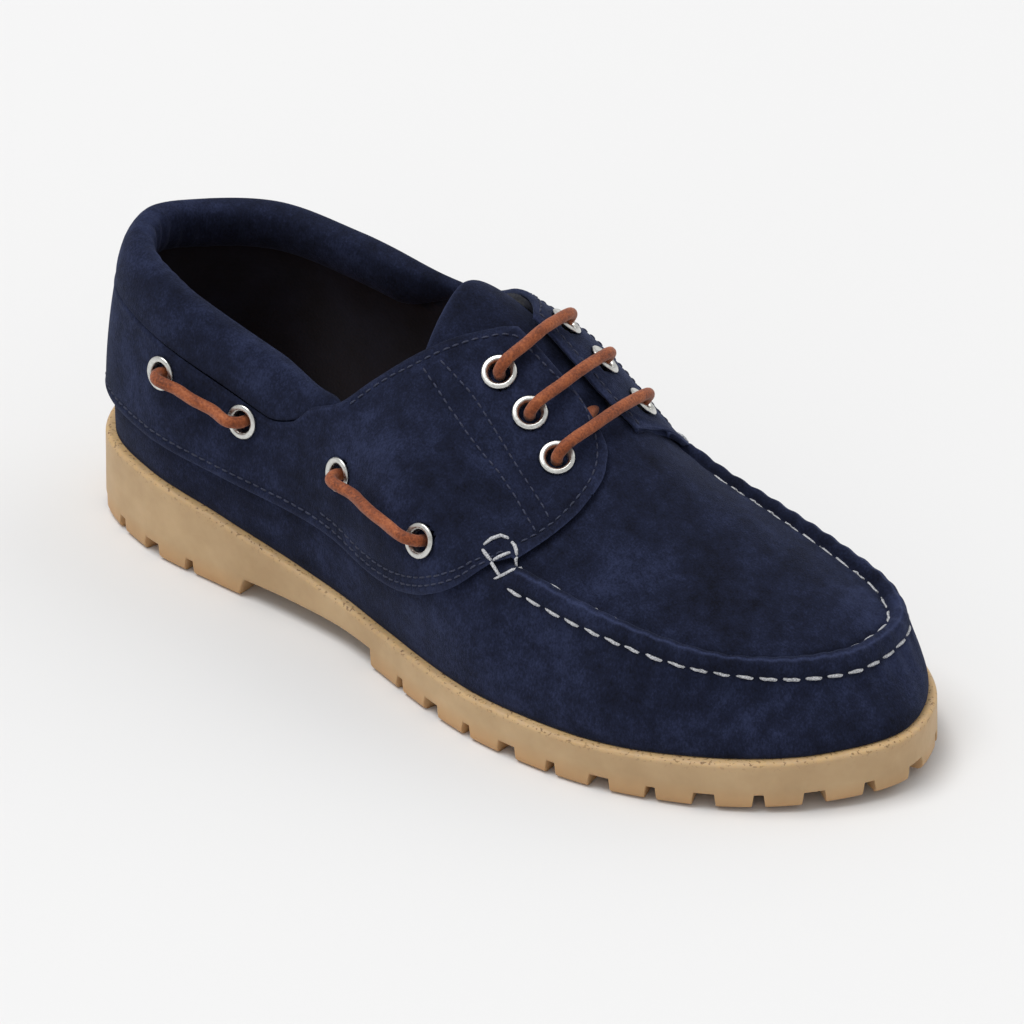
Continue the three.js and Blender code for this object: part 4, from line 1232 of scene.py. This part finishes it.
def instep(x, y):
    """Height of the last at plan points, from its cross-sections at every millimetre of x."""
    u = np.linspace(3, 12.9, 600)
    stations = np.arange(120.0, 215.0, 1.0)
    at = np.interp(stations, loop_at(u)[0][:, 2], u)
    out, _, _ = last_grid(at, 12, 4, 80)
    inn, _, _ = last_grid(ROWS - at, 12, 4, 80)
    both = np.concatenate([out, inn[:, ::-1]], 1)
    across = np.linspace(-35, 42, 155)
    table = np.stack([np.interp(across, both[i, :, 1], both[i, :, 2]) for i in range(len(stations))])
    fx = np.clip((x - stations[0]) / 1.0, 0, len(stations) - 2.001)
    fy = np.clip((y - across[0]) / (across[1] - across[0]), 0, len(across) - 2.001)
    i, j = fx.astype(int), fy.astype(int)
    a, b = fx - i, fy - j
    return ((1 - a) * (1 - b) * table[i, j] + a * (1 - b) * table[i + 1, j]
            + (1 - a) * b * table[i, j + 1] + a * b * table[i + 1, j + 1])


def build_tongue():
    """The tongue: a grid in plan whose near end is a rounded tab, dropped onto the instep."""
    w = np.linspace(0, 1, 64)[None]
    end = 130.2 + 9.5 * (1 - np.sqrt(1 - np.abs(2 * w - 1) ** 4))
    t = np.linspace(0, 1, 84)[:, None] ** 1.25
    x = end + (204.6 - end) * t
    lo, hi = cubic(*np.array(TONGUE_OUT).T, x), cubic(*np.array(TONGUE_IN).T, x)
    y = lo + (hi - lo) * w
    grid = np.stack([x, y, instep(x, y)], -1)
    normals = grid_normals(grid)
    away = np.minimum(x - end, np.minimum(y - lo, hi - y))
    swell = 0.9 * bell(x - 137, 9) * np.sin(np.pi * w) ** 0.5
    lift = -2.6 + swell - 0.5 * np.exp(-np.maximum(away, 0) / 0.5)
    points = grid + normals * lift[..., None]
    fray = 0.6 * np.exp(-np.maximum(away, 0) / 0.9)
    piece = add_mesh("suede_tongue", points, grid_faces(*y.shape), [NAVY, NAVY, NAVY_EDGE],
                     {"fray": fray, "shade": np.zeros_like(fray)})
    thicken(piece, 2.4, inside=1, rim=2)
    return settle(piece, "navy_suede", "tongue")


build_tongue()

# %% [markdown]
# ## The sole
# The sole is one moulding of gum rubber: a wall a little wider than the upper, a flat ledge on top where
# the suede is cemented down, and lugs cut by narrow and wide notches in turn. The notches could be cut
# with booleans, but moulded rubber has rounded corners everywhere, so the wall is a grid whose columns
# crowd at each notch and whose lower edge rises smoothly into it.

# %% Sole measures
LEDGE, LUG, ARCH_Z = 2.6, 4.6, 6.5
HEEL_BREAST_X, FOREPART_X = 78.0, 138.0
BORDER_LUG, CHANNEL, LUG_PITCH = 14.0, 3.5, 16.0
NOTCHES = np.arange(LUG_PITCH / 2, LOOP_LENGTH, LUG_PITCH)
WIDTHS = np.where(np.arange(len(NOTCHES)) % 2, 5.5, 2.2)


def foot_line(s):
    """Point and outward direction of the foot's edge at running length s."""
    def at(v):
        return np.stack([cubic(LOOP_KNOTS, LOOP[:, k], v, LOOP_LENGTH) for k in (0, 1)], -1)
    along = unit(at(s + 0.4) - at(s - 0.4))
    return at(s), np.stack([along[:, 1], -along[:, 0]], -1)


notch_x = foot_line(NOTCHES)[0][:, 0]
ON_TREAD = (notch_x > FOREPART_X + 6) | (notch_x < HEEL_BREAST_X - 7)
NOTCHES, WIDTHS = NOTCHES[ON_TREAD], WIDTHS[ON_TREAD]
print("notches round the sole:", len(NOTCHES))


def notch_depth(s, inset):
    """0 on a lug, 1 in a notch: a wedge, wider outside, with its corners rounded over 0.6 mm."""
    gap = np.abs(s[:, None] - NOTCHES[None])
    nearest = gap.argmin(1)
    half = WIDTHS[nearest] / 2 + 0.45 - 0.055 * inset
    return smooth((half - gap[np.arange(len(s)), nearest]) / 0.7 + 0.5)


def arch_height(x):
    return ARCH_Z * smooth((x - HEEL_BREAST_X) / 3) * (1 - smooth((x - FOREPART_X + 0.9) / 1.2))


def sole_columns():
    """Even columns, and close ones at both sides of each notch and at the ends of the arch."""
    s = [np.arange(0, LOOP_LENGTH, 1.3)]
    for centre, width in zip(NOTCHES, WIDTHS):
        for side in (-1, 1):
            s.append(centre + side * (width / 2 + np.linspace(-0.9, 1.1, 9)))
    x = foot_line(s[0])[0][:, 0]
    for a, b in ((HEEL_BREAST_X - 1, HEEL_BREAST_X + 4), (FOREPART_X - 2, FOREPART_X + 2)):
        near = s[0][(x > a - 1) & (x < b + 1)]
        s += [near + d for d in (0.33, 0.66, 0.99)]
    s = np.unique(np.round(np.concatenate(s) % LOOP_LENGTH, 3))
    return s[np.concatenate([[True], np.diff(s) > 0.12])]

# %% [markdown]
# ## Wall, ledge and lugs
# Seen from the tread inwards, the rows of this grid run under a lug, round its lower corner, up the wall,
# over the lip and along the ledge to where the suede sits. A notch lifts the lower rows out of the way,
# so the cut and the lug are one skin. The upper rows are a little wavy, as a trimmed edge is.

# %% Wall, ledge and lugs
def sole_edge():
    """The ring of edge lugs, the wall and the ledge: one closed grid round the foot."""
    s = sole_columns()
    foot, out = foot_line(s)
    x = foot[:, 0]
    low, high = tread(x), sole_top(x)
    rows = []

    def put(move, z):
        rows.append(np.column_stack([foot + out * np.broadcast_to(move, x.shape)[:, None], z]))

    put(-BORDER_LUG - CHANNEL, np.maximum(low + LUG, arch_height(x)))
    put(-BORDER_LUG, np.maximum(low + LUG, arch_height(x)))
    for inset, rise in ((14, 0.9), (13.6, 0.15), (13, 0), (9, 0), (5, 0), (1.5, 0), (-1.6, 0)):
        depth = notch_depth(s, inset)
        put(-inset, np.maximum(low + rise * (1 - depth) + LUG * depth, arch_height(x)))
    bottom = np.maximum(low + LUG * notch_depth(s, -2.6), arch_height(x))
    for d in (0.12, 0.5, 1.1, 1.9):
        z = bottom + d
        round_in = 0.9 * (1 - np.sqrt(np.clip(1 - (1 - min(d, 1.1) / 1.1) ** 2, 0, 1)))
        put(wall_out(z, low, high) - round_in, z)
    for f in np.linspace(0.1, 1, 7):
        z = bottom + 1.9 + (high - 1.3 - bottom - 1.9) * f
        put(wall_out(z, low, high), z)
    put(wall_out(high - 0.8, low, high) - 0.05, high - 0.75)
    for move, rise in ((LEDGE - 0.25, -0.3), (LEDGE - 0.65, -0.05), (LEDGE - 1.2, 0.02),
                       (0.6, -0.02), (-0.2, -0.05), (-7.0, -0.05)):
        put(move, high + rise)
    grid = np.stack(rows, 1)
    bump = 0.12 * np.sin(s / 1.9) * np.sin(s / 5.1 + 2) + 0.06 * np.sin(s * 2.3)
    grid[:, -5:-3, 2] += bump[:, None] * 0.8
    joint = np.zeros(grid.shape[:2])
    joint[:, -8:] = (0.25, 0.6, 1.0, 1.0, 1.0, 1.0, 1.0, 0.3)
    return grid, joint


def wall_out(z, low, high):
    """How far the wall stands outside the foot's edge at height z."""
    f = np.clip((z - low - 1.6) / (high - 1.4 - low - 1.6), 0, 1)
    lower = np.clip((z - low) / 1.6, 0, 1)
    return LEDGE - 0.2 + 0.9 * lower - 0.4 * f

# %% [markdown]
# ## The middle of the tread
# Inside the ring of lugs the sole is a field of broad blocks, and nothing there is tall, so it can be a
# height over the plan: ground, minus chevron grooves at the same pitch as the lugs, and raised at the
# waist.

# %% Middle of the tread
def sole_middle():
    """The blocks inside the channel, by a height over the plan: chevron grooves every 16 mm."""
    s = np.linspace(0, LOOP_LENGTH, 900, endpoint=False)
    foot, out = foot_line(s)
    ring = foot - out * (BORDER_LUG + CHANNEL)
    tip, back = ring[:, 0].argmax(), ring[:, 0].argmin()
    order = np.arange(len(s))
    after, before = order >= back, order <= tip
    lower = ring[after & before] if back < tip else ring[after | before]
    upper_line = ring[~np.isin(ring[:, 0], lower[:, 0])]
    lower, upper_line = lower[lower[:, 0].argsort()], upper_line[upper_line[:, 0].argsort()]
    x = np.arange(lower[0, 0] + 0.6, lower[-1, 0] - 0.6, 0.8)
    lo, hi = np.interp(x, *lower.T), np.interp(x, *upper_line.T)
    w = np.concatenate([[0, 0], np.linspace(0.01, 0.99, 24), [1, 1]])
    y = lo[:, None] + (hi - lo)[:, None] * w
    centre = 5 * (1 - np.abs(y) / 70)
    phase = (x[:, None] - 22 - centre) % LUG_PITCH
    groove = smooth((np.minimum(phase, CHANNEL - phase)) / 0.7 + 0.5) * (x[:, None] > 20)
    z = tread(x)[:, None] + LUG * groove
    z[:, [0, -1]] = tread(x)[:, None] + LUG
    z = np.maximum(z, arch_height(x)[:, None])
    return np.stack([np.broadcast_to(x[:, None], y.shape), y, z], -1)


def build_sole():
    edge, joint = sole_edge()
    middle = sole_middle()
    points, faces = join_parts([(edge, grid_faces(*edge.shape[:2], wrap=True)),
                                (middle, grid_faces(*middle.shape[:2])[:, ::-1])])
    joint = np.concatenate([joint.ravel(), np.zeros(middle[..., 0].size)])
    piece = add_mesh("rubber_outsole", points, faces, [RUBBER], {"joint": joint})
    return settle(piece, "sole_rubber", "outsole")


build_sole()

# %% [markdown]
# ## The footbed
# A board of tan leather lies on the sole inside the shoe. It is slightly dished by the heel, its cut edge
# is round, and the feet polish it. It is a disc of rings from the middle line out to the edge.

# %% Insole
def build_insole():
    s = np.arange(0, LOOP_LENGTH, 2.0)
    foot, out = foot_line(s)
    edge = foot - out * (WALL + 1.4)
    x = np.clip(edge[:, 0], HEEL_CENTRE_X, TOE_CENTRE_X)
    middle = np.column_stack([x, np.interp(x, [46, 120, 200, 262], [-1, -2, -3, 2])])
    rows = []
    base = sole_top(edge[:, 0]) + GAP
    for r, z in ((0.0, 0.0), (0.6, 0.0), (0.985, 0.0), (1.0, 0.5), (1.0, 2.3), (0.99, 2.8), (0.975, 3.0),
                 (0.9, 2.75), (0.8, 2.6), (0.6, 2.5), (0.4, 2.45), (0.2, 2.4), (0.0, 2.4)):
        p = middle + (edge - middle) * r
        rows.append(np.column_stack([p, sole_top(p[:, 0]) * (r < 0.9) + base * (r >= 0.9)
                                     + GAP * (r < 0.9) + z]))
    grid = np.stack(rows, 1)
    faces = grid_faces(*grid.shape[:2], wrap=True)
    piece = add_mesh("leather_footbed", grid, faces, [TAN], merge=0.02)
    return settle(piece, "insole_leather", "insole")


build_insole()

# %% [markdown]
# ## Eyelets
# Each eyelet is a tube of plated brass whose top is rolled over into a domed ring. A flat washer would
# flash all at once, while the dome carries one small highlight round, so the ring is a half-round section
# turned about the hole, sunk in the leather and facing the way the leather does.

# %% Eyelets
RING = ((3.4, -2.6), (3.9, -2.6), (3.9, 0.35), (5.3, 0.30), (5.5, 0.55), (5.38, 0.95), (5.0, 1.26),
        (4.72, 1.20), (4.45, 1.34), (3.95, 1.2), (3.6, 0.85), (3.42, 0.4))


def frame_of(normal):
    """Two directions square to a normal and to each other."""
    first = unit(np.cross(normal, (0.0, 0.3, 1.0)))
    return first, np.cross(normal, first)


def seated(side, spot):
    """Puts an eyelet's centre on the finished quarter."""
    centre, normal = spot
    found = QUARTER_TREE[side].ray_cast(Vector(centre + normal * 6), Vector(-normal))
    return (np.array(found[0]) if found[0] is not None else centre), normal


SEATS = {key: {s: [seated(s, spot) for spot in group[s]] for s in (-1, 1)}
         for key, group in (("throat", THROAT), ("side", SIDES))}


def build_eyelets():
    ring, steps = np.array(RING), 40
    a = np.linspace(0, 2 * np.pi, steps, endpoint=False)[:, None, None]
    r, z = ring[None, :, 0, None], ring[None, :, 1, None]
    faces = ring_faces(steps, len(ring), wrap=True)
    parts = []
    for centre, normal in [spot for group in SEATS.values() for s in (-1, 1) for spot in group[s]]:
        e1, e2 = frame_of(normal)
        parts.append((centre + r * (np.cos(a) * e1 + np.sin(a) * e2) + z * normal, faces))
    names = ["eyelet_%s_%d" % (s, n) for s in ("outer", "inner") for n in (1, 2, 3)]
    names += ["side_eyelet_%s_%d" % (s, n) for s in ("outer", "inner") for n in (1, 2, 3, 4)]
    return settle(add_mesh("nickel_eyelets", *join_parts(parts), [METAL]), "eyelet_metal", *names)


build_eyelets()

# %% [markdown]
# ## Laces
# The lace is round rawhide: stiff, so it rises steeply out of a hole, arches over the leather and dives
# into the next one. A line from hole to hole would cut through the flaps. Each run goes through points
# found on the leather itself, lifted by the cord's radius. Three bars cross the throat, the side lace
# shows twice on each side, and everything between runs hidden under the leather.

# %% Laces
LACE_R = 1.85


def lace_path(a, b, bow, tree):
    """From under one eyelet up through it, over the leather, and down through the other."""
    (pa, na), (pb, nb) = a, b
    out = unit(na + nb)

    def over(f):
        p = pa + (pb - pa) * f
        found = tree.ray_cast(Vector(p + out * 60), Vector(-out))
        base = np.array(found[0]) if found[0] is not None else p
        return base + out * (LACE_R + 1.2)

    def rise(p, n, far):
        return p + n * (LACE_R + 2.3) + unit(far - p) * 1.6

    middle = (over(0.3) + over(0.7)) / 2 + out * bow
    points = [pa - na * 3.3, pa - na * 0.8, pa + na * 1.4, rise(pa, na, pb), over(0.3), middle,
              over(0.7), rise(pb, nb, pa), pb + nb * 1.4, pb - nb * 0.8, pb - nb * 3.3]
    return spread(points, 0.55), unit(np.cross(pb - pa, out))


def lace_mesh(name, runs, *nodes_replaced):
    """Runs of lace as one piece: slightly uneven, and drawn in to a blunt end under the leather."""
    parts = []
    for path, aside in runs:
        along = unit(np.gradient(path, axis=0))
        n = len(path)
        size = LACE_R * (1 + 0.012 * np.sin(np.arange(n) * 0.5) + 0.006 * rng.standard_normal(n))
        size[[0, -1]] = 0.05
        size[[1, -2]] = LACE_R * 0.7
        parts.append((tube(path, unit(np.cross(aside, along)), size, 20), ring_faces(n, 20)))
        print("%.0f mm" % running(path)[-1], end=" in ")
    return settle(add_mesh(name, *join_parts(parts), [LACE]), "lace_leather", *nodes_replaced)


BOTH_TREE = search_tree((QUARTER[-1], False), (QUARTER[1], False), (offset_last(-1.0), True))
BAR_BOW, SIDE_BOW = (1.0, 0.6, 0.5), 0.6
for k in range(3):
    bar = lace_path(SEATS["throat"][-1][k], SEATS["throat"][1][k], BAR_BOW[k], BOTH_TREE)
    lace_mesh("lace_bar_%d_cord" % (k + 1), [bar], "lace_bar_%d" % (k + 1))
for s, word in ((-1, "outer"), (1, "inner")):
    seats = SEATS["side"][s]
    runs = [lace_path(seats[k], seats[k + 1], SIDE_BOW, QUARTER_TREE[s]) for k in (0, 2)]
    lace_mesh("side_lace_%s_cord" % word, runs, "side_lace_%s_1" % word, "side_lace_%s_2" % word)


def under_run():
    """The lace crosses under the flaps between the bars and shows in the gap over the tongue."""
    y = np.linspace(-9, 20, 24)
    x = 179.4 - (y - 7.8) * 0.35
    z = instep(x, y) - 1.5 - 0.6 * np.clip(y - 3.0, 0, 12)
    return spread(np.column_stack([x, y, z]), 0.6), unit(np.array([1.0, 0.35, 0.0]))


lace_mesh("lace_under_flaps", [under_run()])

# %% [markdown]
# ## Floor, light and camera
# Shoes are shown on a white sweep under a wide, soft source, which keeps navy suede from turning black
# and leaves only a faint shadow by the sole. A small lamp would cut hard edges, so a pale sky does most
# of the work, a very wide sun gives the direction and a weaker one behind opens the far side. A long lens
# from in front and above keeps the toe from growing.

# %% Camera, floor and light
SKY_STRENGTH, FLOOR_HALF = 0.62, 6.0
LAMPS = (("key", (-0.5, -0.35, 1.7), 1.75, 34), ("fill", (0.5, 1.0, 1.1), 0.30, 50))
AZIMUTH, ELEVATION, DISTANCE = math.radians(38.86), math.radians(31.73), 2.544
TARGET, FIELD, SENSOR = (0.006, -0.002, 0.044), 1.024 / 3.28, 36.0


def stage():
    """A pale floor that runs to the horizon, an even sky, and two wide soft suns."""
    paint = Paint("studio_floor", roughness=0.9)
    tone = paint.noise(0.7, 2.0)
    paint.colour(paint.steps(tone, (0.3, linear(225, 225, 225)), (0.7, linear(227, 227, 227))))
    mesh = bpy.data.meshes.new("floor")
    corners = [(x * FLOOR_HALF, y * FLOOR_HALF, 0) for x, y in ((-1, -1), (1, -1), (1, 1), (-1, 1))]
    mesh.from_pydata(corners, [], [(0, 1, 2, 3)])
    mesh.materials.append(paint.material)
    floor = bpy.data.objects.new("floor", mesh)
    bpy.context.scene.collection.objects.link(floor)
    world = bpy.data.worlds.new("sky")
    world.use_nodes = True
    world.node_tree.nodes["Background"].inputs["Color"].default_value = (1, 1, 1, 1)
    world.node_tree.nodes["Background"].inputs["Strength"].default_value = SKY_STRENGTH
    bpy.context.scene.world = world
    for name, place, power, angle in LAMPS:
        lamp = bpy.data.lights.new(name, "SUN")
        lamp.energy = power
        lamp.angle = math.radians(angle)
        holder = bpy.data.objects.new(name, lamp)
        holder.location = place
        holder.rotation_euler = (-Vector(place)).to_track_quat("-Z", "Y").to_euler()
        bpy.context.scene.collection.objects.link(holder)


stage()


def camera():
    """A long lens from the front and the outer side, 39 degrees round and 32 up. Its focal length is the
    sensor's width times the distance over the width of the field in metres."""
    level = math.cos(ELEVATION)
    back = Vector((math.sin(AZIMUTH) * level, -math.cos(AZIMUTH) * level, math.sin(ELEVATION)))
    lens = bpy.data.cameras.new("camera")
    lens.sensor_width = SENSOR
    lens.lens = SENSOR * DISTANCE / FIELD
    holder = bpy.data.objects.new("camera", lens)
    holder.location = Vector(TARGET) + back * DISTANCE
    holder.rotation_euler = back.to_track_quat("Z", "Y").to_euler()
    bpy.context.scene.collection.objects.link(holder)
    bpy.context.scene.camera = holder


camera()
bpy.context.scene.view_settings.view_transform = "Standard"
print("lens: %.0f mm" % bpy.context.scene.camera.data.lens)
